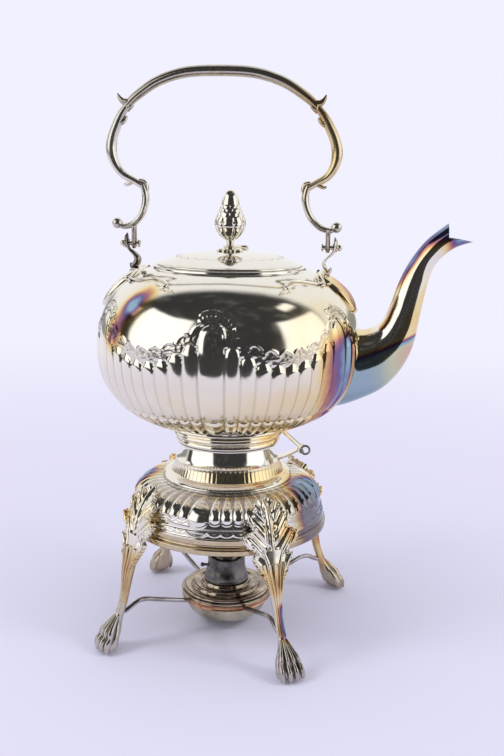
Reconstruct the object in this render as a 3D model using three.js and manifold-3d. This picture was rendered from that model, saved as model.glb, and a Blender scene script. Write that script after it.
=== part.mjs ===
// A plated spirit kettle on its stand: a half-fluted kettle with a swan-neck spout, a bail handle and
// a hinged lid, on a four-legged stand with paw feet that carries a spirit burner.
// Millimetres, +Z up. The origin is on the floor under the middle of the kettle, the spout points
// along +X, the lid hinge is at +Y and the front of the kettle looks along -Y.
import * as THREE from "three";
import { mergeVertices } from "three/addons/utils/BufferGeometryUtils.js";
import Module from "manifold-3d";

const wasm = await Module();
wasm.setup();

// Driving dimensions.
const gap = 0.3;
const sheet = 1.2;

// Kettle body: a squashed round shell whose section is a superellipse.
const bellyRadius = 94;
const bellyHeight = 217;
const bellyHalfHeight = 62;
const bellyPower = 2.5;
const mouthRadius = 47;
const mouthHeight = 272.2;
const shoulderRadius = 53;

// Flutes on the lower half: six wide ones, each followed by eight narrow ones.
const wideFlutes = 6;
const narrowPerWide = 8;
const wideFluteAngle = 10.8;
const wideFluteTop = 243;
const swagDrop = 26;
const fluteRelief = 2;
const fluteFoot = 161.5;

// Strainer holes in the wall behind the spout.
const strainerHeight = 204;
const strainerInside = 76;
const strainerHoleRadius = 3.2;

// Kettle foot, mouth collar and lid.
const footBottom = 145;
const footRadius = 38.1;
const footSides = 20;
const lidRadius = 52.2;
const lidRimBottom = 272.9;
const lidRimTop = 274.5;
const lidRise = 8.5;
const lidHollowRadius = 38;
const lidSeatRadius = 47;
const flangeRadius = 44.4;
const flangeBottom = 264.5;
const lidHingeY = 56.5;
const lidHingeZ = 281.4;
const lidHingeWidth = 13;

// Finial.
const finialFoot = 283.3;
const stemRadius = 2.9;
const stemHole = 3.2;
const budBottom = 291.5;
const budTop = 326.5;
const budRadius = 10.6;

// Bail handle. It leans a little to the left, as the one in the photograph does.
const totalHeight = 410;
const handlePinZ = 287;
const handleTabX = 69.5;
const earX = 74.6;
const wireRadius = 3.7;
const leanAtFoot = 3;
const leanAtTop = 8.5;

// Tilting hinge between the kettle and the stand, at the spout side.
const tiltX = 55;
const tiltZ = 138.8;
const tiltWidth = 12;

// Stand.
const standTurn = -10;
const rimRadius = 74.3;
const rimBottom = 81.2;
const neckTop = 144.6;
const neckTopRadius = 33.5;
const lobeSectors = 4;
const wideGadroonAngle = 13;
const narrowGadroons = 11;
const stretcherRadius = 1.75;
const stretcherEnd = 30.4;


// The legs are bent by use, each in its own way. The azimuth is that of the leaf. The splay is how far the
// paw stands out from where it should, and the sway how far aside.
const legs = [
  { name: "front_right", azimuth: -60, splay: 2, sway: 5 },
  { name: "front_left", azimuth: -138.5, splay: 0, sway: -4.5 },
  { name: "rear_left", azimuth: 131, splay: 0, sway: 0 },
  { name: "rear_right", azimuth: 42.5, splay: 4, sway: -8 },
];
const bendStart = 75;

// Burner.
const burnerRingTop = 24.6;
const burnerRingRadius = 34;
const burnerRadius = 31.6;
const burnerSides = 24;

const silver = { color: 0xd9d4c6, roughness: 0.16, metalness: 1 };
const tarnished = { color: 0xb9a27a, roughness: 0.24, metalness: 1 };
const darkMetal = { color: 0x3a3833, roughness: 0.45, metalness: 1 };
const copper = { color: 0xa8714c, roughness: 0.3, metalness: 1 };
const cotton = { color: 0xcfc8b8, roughness: 0.95, metalness: 0 };

const object = new THREE.Group();

// Helpers.
function vec(x, y, z) {
  return new THREE.Vector3(x, y, z);
}

function rad(degrees) {
  return THREE.MathUtils.degToRad(degrees);
}

function mix(a, b, t) {
  return a + (b - a) * t;
}

function polar(radius, degrees, z) {
  return vec(radius * Math.cos(rad(degrees)), radius * Math.sin(rad(degrees)), z);
}

// Keeps only the positions, merges equal corners and turns the faces outwards.
function closed(geometry) {
  let g = geometry.clone();
  g.deleteAttribute("normal");
  g.deleteAttribute("uv");
  g = mergeVertices(g, 1e-4);
  const p = g.attributes.position;
  const index = Array.from(g.index.array);
  const faces = [];
  let volume = 0;
  const a = vec(0, 0, 0);
  const b = vec(0, 0, 0);
  const c = vec(0, 0, 0);
  for (let i = 0; i < index.length; i += 3) {
    const [u, v, w] = index.slice(i, i + 3);
    if (u === v || v === w || w === u) continue;
    faces.push(u, v, w);
    a.fromBufferAttribute(p, u);
    b.fromBufferAttribute(p, v);
    c.fromBufferAttribute(p, w);
    volume += a.dot(b.cross(c));
  }
  if (volume < 0) faces.reverse();
  g.setIndex(faces);
  return g;
}

function toManifold(geometry) {
  const g = closed(geometry);
  return new wasm.Manifold(new wasm.Mesh({
    numProp: 3,
    vertProperties: new Float32Array(g.attributes.position.array),
    triVerts: new Uint32Array(g.index.array),
  }));
}

function fromManifold(solid) {
  const mesh = solid.getMesh();
  const g = new THREE.BufferGeometry();
  g.setAttribute("position", new THREE.BufferAttribute(mesh.vertProperties, 3));
  g.setIndex(Array.from(mesh.triVerts));
  return g;
}

function join(...geometries) {
  return fromManifold(geometries.map(toManifold).reduce((a, b) => a.add(b)));
}

function cut(geometry, ...tools) {
  return fromManifold(tools.map(toManifold).reduce((a, b) => a.subtract(b), toManifold(geometry)));
}

// A skin over closed rings of points. Neighbouring rings may have different counts, and the skin
// either closes on its first ring or is capped at both ends.
function skin(rings, looped = false) {
  const points = [];
  const faces = [];
  const starts = rings.map((ring) => {
    const start = points.length;
    points.push(...ring);
    return start;
  });
  const zip = (a, b) => {
    const n = rings[a].length;
    const m = rings[b].length;
    let i = 0;
    let j = 0;
    while (i < n || j < m) {
      const p = starts[a] + (i % n);
      const q = starts[b] + (j % m);
      if (j === m || (i < n && (i + 1) / n <= (j + 1) / m)) {
        faces.push(p, starts[a] + ((i + 1) % n), q);
        i += 1;
      } else {
        faces.push(p, starts[b] + ((j + 1) % m), q);
        j += 1;
      }
    }
  };
  for (let k = 0; k + 1 < rings.length; k += 1) zip(k, k + 1);
  if (looped) {
    zip(rings.length - 1, 0);
  } else {
    [0, rings.length - 1].forEach((k) => {
      const middle = rings[k].reduce((sum, v) => sum.add(v), vec(0, 0, 0)).divideScalar(rings[k].length);
      const hub = points.push(middle) - 1;
      rings[k].forEach((v, i) => {
        const here = starts[k] + i;
        const next = starts[k] + ((i + 1) % rings[k].length);
        if (k === 0) faces.push(hub, next, here);
        else faces.push(hub, here, next);
      });
    });
  }
  const g = new THREE.BufferGeometry();
  const numbers = points.flatMap((v) => [v.x, v.y, v.z]);
  g.setAttribute("position", new THREE.Float32BufferAttribute(numbers, 3));
  g.setIndex(faces);
  return closed(g);
}

// A turned piece: the profile is a list of [radius, height] that closes on itself, or that starts
// and ends on the axis.
function turned(profile, segments = 40) {
  const points = profile.map(([r, z]) => new THREE.Vector2(r, z));
  const onAxis = profile[0][0] === 0 && profile[profile.length - 1][0] === 0;
  if (!onAxis) points.push(points[0].clone());
  return closed(new THREE.LatheGeometry(points, segments).rotateX(Math.PI / 2));
}

function rod(from, to, radius, sides = 10) {
  const direction = to.clone().sub(from);
  const g = new THREE.CylinderGeometry(radius, radius, direction.length(), sides);
  const turn = new THREE.Quaternion().setFromUnitVectors(vec(0, 1, 0), direction.clone().normalize());
  g.applyQuaternion(turn);
  g.translate(...from.clone().add(to).divideScalar(2).toArray());
  return closed(g);
}

function ball(centre, radius, sides = 10) {
  const g = new THREE.SphereGeometry(radius, sides, Math.round(sides * 0.7));
  return closed(g.translate(...centre.toArray()));
}

function block(x, y, z, centre) {
  return closed(new THREE.BoxGeometry(x, y, z).translate(...centre.toArray()));
}

// A tapering round wire through the given centres, each with its radius.
function wire(centres, radii, sides = 8, steps = 24, flat = 1) {
  const path = new THREE.CatmullRomCurve3(centres, false, "centripetal");
  const radius = (t) => {
    const at = t * (radii.length - 1);
    const k = Math.min(Math.floor(at), radii.length - 2);
    return mix(radii[k], radii[k + 1], at - k);
  };
  const rings = [];
  for (let s = 0; s <= steps; s += 1) {
    const t = s / steps;
    const centre = path.getPoint(t);
    const along = path.getTangent(t);
    const side = vec(0, 1, 0);
    const up = along.clone().cross(side).normalize();
    const ring = [];
    for (let k = 0; k < sides; k += 1) {
      const angle = (2 * Math.PI * (k + 0.5)) / sides;
      ring.push(centre.clone()
        .addScaledVector(side, radius(t) * flat * Math.cos(angle))
        .addScaledVector(up, radius(t) * Math.sin(angle)));
    }
    rings.push(ring);
  }
  return skin(rings);
}

// A flat plate of the given outline in the XZ plane, centred on y = 0.
function platePlane(outline, thickness) {
  const shape = new THREE.Shape(outline.map(([x, z]) => new THREE.Vector2(x, z)));
  const g = new THREE.ExtrudeGeometry(shape, { depth: thickness, bevelEnabled: false });
  return closed(g.rotateX(Math.PI / 2).translate(0, thickness / 2, 0));
}

function add(name, geometry, look) {
  const mesh = new THREE.Mesh(closed(geometry), new THREE.MeshStandardMaterial(look));
  mesh.name = name;
  object.add(mesh);
  return mesh;
}

// Kettle body.
function bellyRadiusAt(z) {
  const h = Math.min(Math.abs(z - bellyHeight) / bellyHalfHeight, 0.9999);
  return bellyRadius * (1 - h ** bellyPower) ** (1 / bellyPower);
}

// The flutes as a list of { centre, width, top }, going round once.
function fluteList() {
  const sector = 360 / wideFlutes;
  const narrow = (sector - wideFluteAngle) / narrowPerWide;
  const list = [];
  for (let s = 0; s < wideFlutes; s += 1) {
    const middle = -90 + s * sector;
    list.push({ centre: middle, width: wideFluteAngle, top: wideFluteTop });
    for (let k = 0; k < narrowPerWide; k += 1) {
      const centre = middle + wideFluteAngle / 2 + (k + 0.5) * narrow;
      const along = (centre - middle) / sector;
      list.push({ centre, width: narrow, top: wideFluteTop - swagDrop * Math.sin(Math.PI * along) ** 0.8 });
    }
  }
  return list;
}

function kettleBody() {
  const flutes = fluteList();
  // One ring of the fluted zone. level is 0 at the foot of the flutes, 1 at their tops.
  const flutedRing = (level, relief, lift = 0) => flutes.flatMap((flute) => {
    const ring = [];
    const points = flute.width === wideFluteAngle ? 4 : 2;
    for (let k = 0; k < points; k += 1) {
      const across = k / points;
      const crest = Math.sin(Math.PI * across) ** 0.6;
      const roundTop = flute.width * 0.45 * (1 - crest);
      const z = mix(fluteFoot, flute.top - roundTop * Math.min(1, level * 1.2) + lift, level);
      const radius = bellyRadiusAt(z) + fluteRelief * relief * (crest - 0.35);
      ring.push(polar(radius, flute.centre + flute.width * (across - 0.5), z));
    }
    return ring;
  });
  const plainRing = (radius, z, count) => {
    const ring = [];
    const start = -90 - wideFluteAngle / 2;
    for (let k = 0; k < count; k += 1) ring.push(polar(radius, start + (360 * k) / count, z));
    return ring;
  };
  const shoulder = [253, 261.5, 267.5].map((z) => plainRing(bellyRadiusAt(z), z, 36));
  const wall = sheet + 0.9;
  const inner = [266, 254, 240, 217, 190, 170].map((z) => plainRing(bellyRadiusAt(z) - wall, z, 16));
  const shell = skin([
    plainRing(44, 158.4, 20),
    flutedRing(0, 0.25),
    flutedRing(0.1, 0.9),
    flutedRing(0.34, 1),
    flutedRing(0.72, 1),
    flutedRing(1, 1),
    flutedRing(1, 0, 2.4),
    ...shoulder,
    plainRing(shoulderRadius, mouthHeight, 36),
    plainRing(mouthRadius, mouthHeight - 0.5, 24),
    plainRing(mouthRadius, mouthHeight - 0.5 - sheet, 24),
    ...inner,
    plainRing(44, 160.2, 16),
  ]);
  return cut(shell, ...strainerHoles());
}

// The strainer: holes through the wall where the spout covers it.
function strainerHoles() {
  const pitch = 10;
  const places = [[0, 0], [pitch, 0], [-pitch, 0], [0, pitch], [0, -pitch]];
  return places.map(([y, z]) => rod(
    vec(strainerInside, y, strainerHeight + z),
    vec(bellyRadius + 6, y, strainerHeight + z),
    strainerHoleRadius, 6,
  ));
}

// A solid of the kettle's outer form, let out a little, that cuts the pieces which sit against it.
function bellyTool(extra) {
  const profile = [[0, 150]];
  for (let z = 160; z <= 270; z += 10) profile.push([bellyRadiusAt(z) + extra, z]);
  profile.push([shoulderRadius + extra, mouthHeight + extra]);
  profile.push([0, mouthHeight + extra]);
  return turned(profile, 48);
}

// Foot ring below the body, from its bottom edge up to the body's underside.
function kettleFootOuter() {
  return [
    [footRadius, footBottom], [38.9, 146.8], [38.3, 148.8], [39.8, 150.4], [40.6, 153.2], [47.2, 157.2],
  ];
}

function kettleFoot() {
  const inside = [[46.4, 157.9], [42.4, 157.2], [38, 152]];
  return turned([[36.9, footBottom], ...kettleFootOuter(), ...inside], footSides);
}

function mouthCollar() {
  const outside = mouthRadius - 0.6;
  return turned([
    [45, 262.5], [outside, 262.5], [outside, mouthHeight + 0.1], [50.6, mouthHeight + gap], [50.6, 272.65],
    [45, 272.65],
  ], 20);
}

// Lid: a low dome with a flat rim, and a flange below that fits the mouth.
function lidDomeAt(r) {
  return lidRimTop + lidRise * (1 - (r / (lidRadius - 1.2)) ** 2.8);
}

function lid() {
  const outer = [[lidRadius, lidRimBottom], [lidRadius, lidRimTop - 0.4], [lidRadius - 0.9, lidRimTop]];
  [44, 32, 16].forEach((r) => outer.push([r, lidDomeAt(r)]));
  const inner = [[20, lidDomeAt(20) - sheet], [lidHollowRadius, lidUnderAt(lidHollowRadius)]];
  const bore = [[stemHole, lidDomeAt(3)], [stemHole, lidDomeAt(3) - sheet]];
  return turned([...bore, ...inner, [lidSeatRadius, lidRimBottom], ...outer], 24);
}

// The lid's underside between its hollow and its seat.
function lidUnderAt(r) {
  const along = (r - lidHollowRadius) / (lidSeatRadius - lidHollowRadius);
  return mix(lidDomeAt(lidHollowRadius) - sheet, lidRimBottom, along);
}

function lidFlange() {
  const inside = flangeRadius - sheet;
  return turned([
    [inside, flangeBottom], [flangeRadius, flangeBottom],
    [flangeRadius, lidUnderAt(flangeRadius) - gap], [inside, lidUnderAt(inside) - gap],
  ], 24);
}

function finialStem() {
  return turned([
    [0, 277.5], [stemRadius, 277.5], [stemRadius, finialFoot], [9.4, finialFoot], [9.2, 284.1], [4.8, 285],
    [5.4, 286.2], [2.7, 288], [2.7, 289.8], [3.6, budBottom - gap], [0, budBottom - gap],
  ], 12);
}

// Finial bud: a pine cone of pointed scales in a cup of eight sepals.
function finialBud() {
  const around = 20;
  const rows = 8;
  const rings = [];
  for (let k = 0; k <= rows; k += 1) {
    const t = k / rows;
    const z = mix(budBottom, budTop, t);
    const widest = 0.34;
    const body = t < widest
      ? Math.sin((Math.PI / 2) * (t / widest)) ** 0.8
      : Math.cos((Math.PI / 2) * ((t - widest) / (1 - widest)) ** 1.5);
    const ring = [];
    for (let s = 0; s < around; s += 1) {
      const scale = (s + k) % 2 ? 0.55 : -0.45;
      const sepal = s % 2 ? 0.4 : -0.3;
      const relief = t < widest ? sepal : scale;
      ring.push(polar(Math.max(0.7, budRadius * body + 0.9 + relief), (360 * s) / around, z));
    }
    rings.push(ring);
  }
  return skin(rings);
}

// A six-sided nut under the lid. Its corners stand out, so its flats clear the stem by the gap.
function finialNut() {
  const corner = stemHole / Math.cos(Math.PI / 6);
  const top = lidDomeAt(8) - sheet - gap;
  return turned([[corner, top - 2.6], [6, top - 2.6], [6, top], [corner, top]], 6);
}

// Spout: an S-shaped tube that tapers to a fish-tail beak.
// Each station has the point on its upper edge, the point on its lower edge and its half width.
function spoutStations() {
  return [
    [84, 231, 78, 173, 20],
    [97.5, 229.4, 98, 179.4, 19],
    [106, 232.6, 112.5, 187.5, 17],
    [111.2, 239, 124.5, 201, 14.8],
    [115.2, 248.5, 132.4, 218, 12.4],
    [118.2, 257.6, 136.4, 240, 10.6],
    [121.2, 266.2, 139.8, 259.4, 9.4],
    [125.2, 275, 143.4, 273, 8.7],
    [131, 284.6, 149.2, 281.8, 8.6],
    [139.6, 295.2, 159.4, 289.6, 8.8],
    [155, 307.6, 176, 294.8, 9.4],
  ];
}

function spoutTube(inset) {
  const stations = spoutStations();
  const curve = (i, j) => {
    const line = stations.map((s) => vec(s[i], 0, s[j]));
    return new THREE.CatmullRomCurve3(line, false, "centripetal");
  };
  const upper = curve(0, 1);
  const lower = curve(2, 3);
  const sides = 10;
  const steps = 12;
  const rings = [];
  for (let k = 0; k <= steps; k += 1) {
    const t = k / steps;
    const top = upper.getPoint(t);
    const bottom = lower.getPoint(t);
    const centre = top.clone().add(bottom).divideScalar(2);
    const half = top.clone().sub(bottom).divideScalar(2);
    const at = t * (stations.length - 1);
    const s = Math.min(Math.floor(at), stations.length - 2);
    const width = mix(stations[s][4], stations[s + 1][4], at - s) - inset;
    half.setLength(half.length() - inset);
    const ring = [];
    for (let q = 0; q < sides; q += 1) {
      const angle = (2 * Math.PI * q) / sides;
      const aside = vec(0, width * Math.sin(angle), 0);
      ring.push(centre.clone().addScaledVector(half, Math.cos(angle)).add(aside));
    }
    rings.push(ring);
  }
  return rings;
}

function spout() {
  const outer = spoutTube(0);
  const inner = spoutTube(sheet);
  // The bore runs out past both ends.
  const push = (ring, x, z) => ring.map((v) => v.clone().add(vec(x, 0, z)));
  const bore = skin([push(inner[0], -30, 0), ...inner, push(inner[inner.length - 1], 20, 14)]);
  const beak = platePlane([[152.6, 295.8], [176, 292.6], [200, 300], [190, 330], [153.2, 330]], 60);
  return cut(skin(outer), bore, bellyTool(fluteRelief * 0.65 + 1.4 * gap), beak);
}

// Escutcheons: a shell-shaped cartouche on each shoulder, with a scroll arm to the front and back.
function escutcheon(side) {
  const reach = side < 0 ? 66 : 56;
  const offset = gap + 0.1;
  const cartouche = [];
  const rows = 5;
  for (let k = 0; k <= rows; k += 1) {
    const t = k / rows;
    const z = mix(268.6, 241.5, t);
    const half = 10 + 7.5 * Math.sin(Math.PI * Math.min(1, 0.25 + t * 0.72)) ** 0.7 * (t > 0.95 ? 0.55 : 1);
    const radius = bellyRadiusAt(z);
    const outer = [];
    const inner = [];
    const across = 4;
    for (let q = 0; q <= across; q += 1) {
      const s = mix(-1, 1, q / across);
      const angle = THREE.MathUtils.radToDeg((s * half) / radius);
      const rib = 2.6 + 1.4 * (1 - s * s) + (q % 2 ? 0.7 : 0);
      const normal = bellyNormal(z);
      outer.push(polar(radius + (offset + rib) * normal.x, angle, z + (offset + rib) * normal.y));
      inner.push(polar(radius + offset * normal.x, angle, z + offset * normal.y));
    }
    cartouche.push([...outer, ...inner.reverse()]);
  }
  const arms = [-1, 1].map((end) => scrollArm(end, reach));
  const whole = join(skin(cartouche), ...arms);
  return side < 0 ? whole.rotateZ(Math.PI) : whole;
}

// Outward direction of the kettle's section at a height, as (radial, vertical).
function bellyNormal(z) {
  const step = 0.5;
  const slope = (bellyRadiusAt(z + step) - bellyRadiusAt(z - step)) / (2 * step);
  return new THREE.Vector2(1, -slope).normalize();
}

// A scroll arm that hugs the shoulder from the cartouche round to a curled tip.
function scrollArm(end, reach) {
  const rings = [];
  const steps = 9;
  for (let k = 0; k <= steps; k += 1) {
    const t = k / steps;
    const angle = end * mix(6, reach, t);
    const wave = 1.1 * Math.sin(t * Math.PI * 3);
    const z = 265.6 + wave - (t > 0.9 ? 1.4 : 0);
    const radius = bellyRadiusAt(z);
    const normal = bellyNormal(z);
    const along = new THREE.Vector2(-normal.y, normal.x);
    const half = mix(3.2, 1.1, t) + (t > 0.84 ? 1.5 * Math.sin(Math.PI * (t - 0.84) / 0.2) : 0);
    const ring = [[-1, 0], [0, 1.9], [1, 0]].map(([a, up]) => polar(
      radius + (gap + 0.1 + up) * normal.x + a * half * along.x,
      angle,
      z + (gap + 0.1 + up) * normal.y + a * half * along.y,
    ));
    rings.push(ring);
  }
  return skin(rings);
}

// Ears: S-shaped straps that rise from the escutcheons and hold the handle pins.
function ear(side) {
  const strap = wire(
    [vec(69, 0, 271.4), vec(66.4, 0, 275.4), vec(68.8, 0, 279.2), vec(73.4, 0, 283.2),
      vec(earX + 0.3, 0, 288), vec(earX, 0, 293.6)],
    [2.2, 1.9, 1.6, 1.5, 1.5, 1], 6, 10, 2.1,
  );
  const hole = rod(vec(60, 0, handlePinZ), vec(90, 0, handlePinZ), 1.6 + gap, 8);
  const whole = side < 0 ? cut(strap, hole).rotateZ(Math.PI) : cut(strap, hole);
  return cut(whole, escutcheon(side).translate(0, 0, gap));
}

function handlePin(side) {
  const pin = join(
    rod(vec(66.2, 0, handlePinZ), vec(79.4, 0, handlePinZ), 1.6, 8),
    ball(vec(79.4, 0, handlePinZ), 2.5, 7),
    rod(vec(65, 0, handlePinZ), vec(66.6, 0, handlePinZ), 2.9, 8),
  );
  return side < 0 ? pin.rotateZ(Math.PI) : pin;
}

// Bail handle.
function lean(z) {
  return -mix(leanAtFoot, leanAtTop, THREE.MathUtils.clamp((z - 297) / (totalHeight - 297), 0, 1));
}

function handleGrip() {
  const half = [[66.5, 382.5], [58.5, 389.6], [43.5, 399.2], [24, 405.4]];
  const points = [...half, [0, totalHeight - wireRadius], ...half.map(([x, z]) => [-x, z]).reverse()];
  const arc = wire(points.map(([x, z]) => vec(x + lean(z), 0, z)), [3.1, 3.5, wireRadius, 3.5, 3.1], 6, 16, 1.1);
  const leaves = [-1, 1].map((side) => {
    const at = (x, z) => vec(side * x + lean(z), 0, z);
    return wire([at(63, 385), at(68.4, 384.4), at(72.5, 389)], [2.6, 2.1, 0.5], 5, 3, 1.1);
  });
  return join(arc, ...leaves);
}

function handleScroll(side) {
  const at = (x, z) => vec(side * x + lean(z), 0, z);
  const outer = wire(
    [at(67.4, 381.8), at(71.2, 376), at(75, 368.6), at(78.6, 360), at(79.8, 351.5), at(77.6, 342.6),
      at(72.6, 335.4), at(64.5, 331.4), at(58.6, 327.6)],
    [2.9, 3.5, 3.8, 3.8, 3.7, 3.3, 3, 3, 3.3], 6, 11, 1.05,
  );
  const lower = wire(
    [at(58.8, 328.4), at(57, 322), at(57.8, 314), at(61.2, 306), at(67, 300.6), at(74, 298.8), at(79, 300.6)],
    [3.3, 2.9, 2.9, 3, 3, 3, 3.3], 6, 8, 1.05,
  );
  const knuckle = ball(at(58.4, 328.2), 3.9, 6);
  const tip = ball(at(78.6, 300.6), 4.3, 6);
  const innerSpur = wire([at(72.4, 374.4), at(69.4, 371.8), at(67.2, 372.8)], [2.2, 1.6, 0.5], 5, 3);
  const outerSpur = wire([at(67, 331), at(71, 326.4), at(73.6, 327.6)], [2.2, 1.5, 0.5], 5, 3);
  const tabX = side * handleTabX;
  const tab = join(
    block(3, 6.6, 13, vec(tabX, 0, handlePinZ + 6.5)),
    rod(vec(tabX - 1.5, 0, handlePinZ), vec(tabX + 1.5, 0, handlePinZ), 3.6, 8),
  );
  const whole = join(outer, lower, knuckle, tip, innerSpur, outerSpur, tab);
  return cut(whole, rod(vec(side * 60, 0, handlePinZ), vec(side * 90, 0, handlePinZ), 1.6 + gap, 8));
}

// Lid hinge: a leaf on the lid and a leaf on the shoulder, with the knuckles in turn on one pin.
function hingeKnuckle(x0, x1) {
  const barrel = rod(vec(x0, lidHingeY, lidHingeZ), vec(x1, lidHingeY, lidHingeZ), 2.3);
  return barrel;
}

function lidHingeBore() {
  const half = lidHingeWidth / 2 + 2;
  return rod(vec(-half, lidHingeY, lidHingeZ), vec(half, lidHingeY, lidHingeZ), 0.9 + gap);
}

function lidHingeLeaf() {
  const width = lidHingeWidth / 3 - gap;
  const tongue = block(width, 13, 1.6, vec(0, lidHingeY - 8, 0));
  tongue.translate(0, -lidHingeY, 0).rotateX(rad(12)).translate(0, lidHingeY, lidHingeZ - 1.2);
  const dome = [47, 40, 31].map((r) => [r, lidDomeAt(r) + gap]);
  const rim = [[0, 265], [lidRadius + gap, 265], [lidRadius + gap, lidRimTop + gap]];
  const tool = turned([...rim, ...dome, [0, lidDomeAt(31) + gap]], 54);
  const web = block(width, 3, 6, vec(0, 51.4, 278));
  return cut(join(hingeKnuckle(-width / 2, width / 2), tongue, web), tool, lidHingeBore());
}

function bodyHingeLeaf() {
  const width = lidHingeWidth / 3;
  const sides = [-1, 1].map((s) => join(
    hingeKnuckle(s * (width / 2), s * (width * 1.5)),
    block(width, 3.2, 10, vec(s * width, lidHingeY + 1.6, lidHingeZ - 5)),
  ));
  const foot = block(lidHingeWidth, 9, 2.4, vec(0, lidHingeY + 4, 273.2));
  return cut(join(...sides, foot), bellyTool(gap + 0.1), lidHingeBore());
}

function lidHingePin() {
  const half = lidHingeWidth / 2 + 0.8;
  return rod(vec(-half, lidHingeY, lidHingeZ), vec(half, lidHingeY, lidHingeZ), 0.9);
}

// Tilting hinge.
function tiltBarrel(y0, y1) {
  return rod(vec(tiltX, y0, tiltZ), vec(tiltX, y1, tiltZ), 2.2);
}

function tiltBore() {
  return rod(vec(tiltX, -tiltWidth, tiltZ), vec(tiltX, tiltWidth, tiltZ), 1.1 + gap);
}

function kettleStrap() {
  const third = tiltWidth / 3;
  const strap = platePlane([[37.6, 150.6], [40.4, 154], [55.6, 140.9], [53.6, 138.4]], tiltWidth);
  const notch = block(12, third + 2 * gap, 14, vec(tiltX, 0, tiltZ));
  const knuckles = [-1, 1].map((s) => tiltBarrel(s * (third / 2 + gap), s * (tiltWidth / 2)));
  const skirt = kettleFootOuter().map(([r, z]) => [r + gap, z]);
  const footTool = turned([[0, 140], [footRadius + gap, 140], ...skirt, [0, 157]], footSides);
  return cut(join(cut(strap, notch), ...knuckles), footTool, tiltBore());
}

function standStrap() {
  const third = tiltWidth / 3;
  const strap = platePlane([[37, 129.6], [37, 131.8], [54.2, 140.2], [56, 137.6]], tiltWidth);
  const notches = [-1, 1].map((s) => block(9, third + 2 * gap, 16, vec(tiltX, s * third, tiltZ)));
  const neckTool = turned([[0, 120], ...neckProfile().map(([r, z]) => [r + gap, z]), [0, neckTop]], 96);
  return cut(join(cut(strap, ...notches), tiltBarrel(-third / 2, third / 2)), neckTool, tiltBore());
}

// The pin pulls out to the front by its ring, which frees the kettle from the stand.
function tiltPin() {
  const end = tiltWidth / 2;
  const pin = rod(vec(tiltX, -end - 2.4, tiltZ), vec(tiltX, end + 1.6, tiltZ), 1.1, 8);
  const ring = new THREE.TorusGeometry(3.1, 0.8, 5, 10).rotateX(Math.PI / 2);
  return join(pin, ring.translate(tiltX + 3.3, -end - 1.9, tiltZ + 1.2));
}

// Stand.
function neckProfile() {
  return [[42.3, 121.4], [39.6, 126.4], [38.6, 130.8], [35.6, 136.4], [neckTopRadius, 143]];
}

function bulgeProfile() {
  return [[48.6, 116.8], [57.4, 115.4], [65.2, 110.4], [69.4, 103.6], [70.8, 97.6]];
}

// The lobes round the bulge: a wide one between each two legs, and narrow ones between.
function gadroonList() {
  const sector = 360 / lobeSectors;
  const narrow = (sector - wideGadroonAngle) / narrowGadroons;
  const list = [];
  for (let s = 0; s < lobeSectors; s += 1) {
    const middle = standTurn + s * sector;
    list.push({ centre: middle, width: wideGadroonAngle });
    for (let k = 0; k < narrowGadroons; k += 1) {
      list.push({ centre: middle + wideGadroonAngle / 2 + (k + 0.5) * narrow, width: narrow });
    }
  }
  return list;
}

function standShell() {
  const ring = (radius, z, segments = 32) => {
    const points = [];
    for (let k = 0; k < segments; k += 1) points.push(polar(radius, standTurn + (360 * k) / segments, z));
    return points;
  };
  const lobedRing = (radius, z, relief) => gadroonList().flatMap((lobe) => {
    const points = [];
    const count = lobe.width === wideGadroonAngle ? 4 : 2;
    for (let k = 0; k < count; k += 1) {
      const crest = Math.sin((Math.PI * k) / count) ** 0.6;
      points.push(polar(radius + relief * (crest - 0.6), lobe.centre + lobe.width * (k / count - 0.5), z));
    }
    return points;
  });
  const neck = neckProfile().reverse().map(([r, z]) => ring(r, z, 24));
  const bulge = bulgeProfile().map(([r, z], i) => lobedRing(r, z, [0.6, 1.5, 1.9, 1.9, 0.4][i]));
  const skirt = [[71.8, 92], [72.6, 87], [rimRadius, 85.4], [rimRadius, rimBottom]];
  const inner = [
    [rimRadius - 1.8, rimBottom], [70.6, 88], [67.4, 99], [62.4, 107], [46, 114.6], [37.4, 123], [32, 134],
    [31.6, 143],
  ];
  return skin([
    ...neck,
    ring(46.7, 120.2, 24),
    ...bulge,
    ...skirt.map(([r, z]) => ring(r, z)),
    ...inner.map(([r, z]) => ring(r, z, 16)),
  ], true);
}

function neckRing() {
  return turned([
    [30.6, 143 + gap], [37.8, 143 + gap], [37.8, neckTop], [33, neckTop], [33, 150], [30.6, 150],
  ], 20);
}

// A solid of the stand's outer form that cuts the backs of the legs.
function standTool(extra) {
  const profile = [[0, rimBottom - extra], [rimRadius + extra, rimBottom - extra], [rimRadius + extra, 84.8],
    [72.8 + extra, 88.2], [71.4 + extra, 96]];
  [...bulgeProfile()].reverse().forEach(([r, z]) => profile.push([r + extra + 0.4, z + extra * 0.7]));
  profile.push([42.6 + extra, 121.4 + extra], [0, 124]);
  return turned(profile, 60);
}

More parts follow.
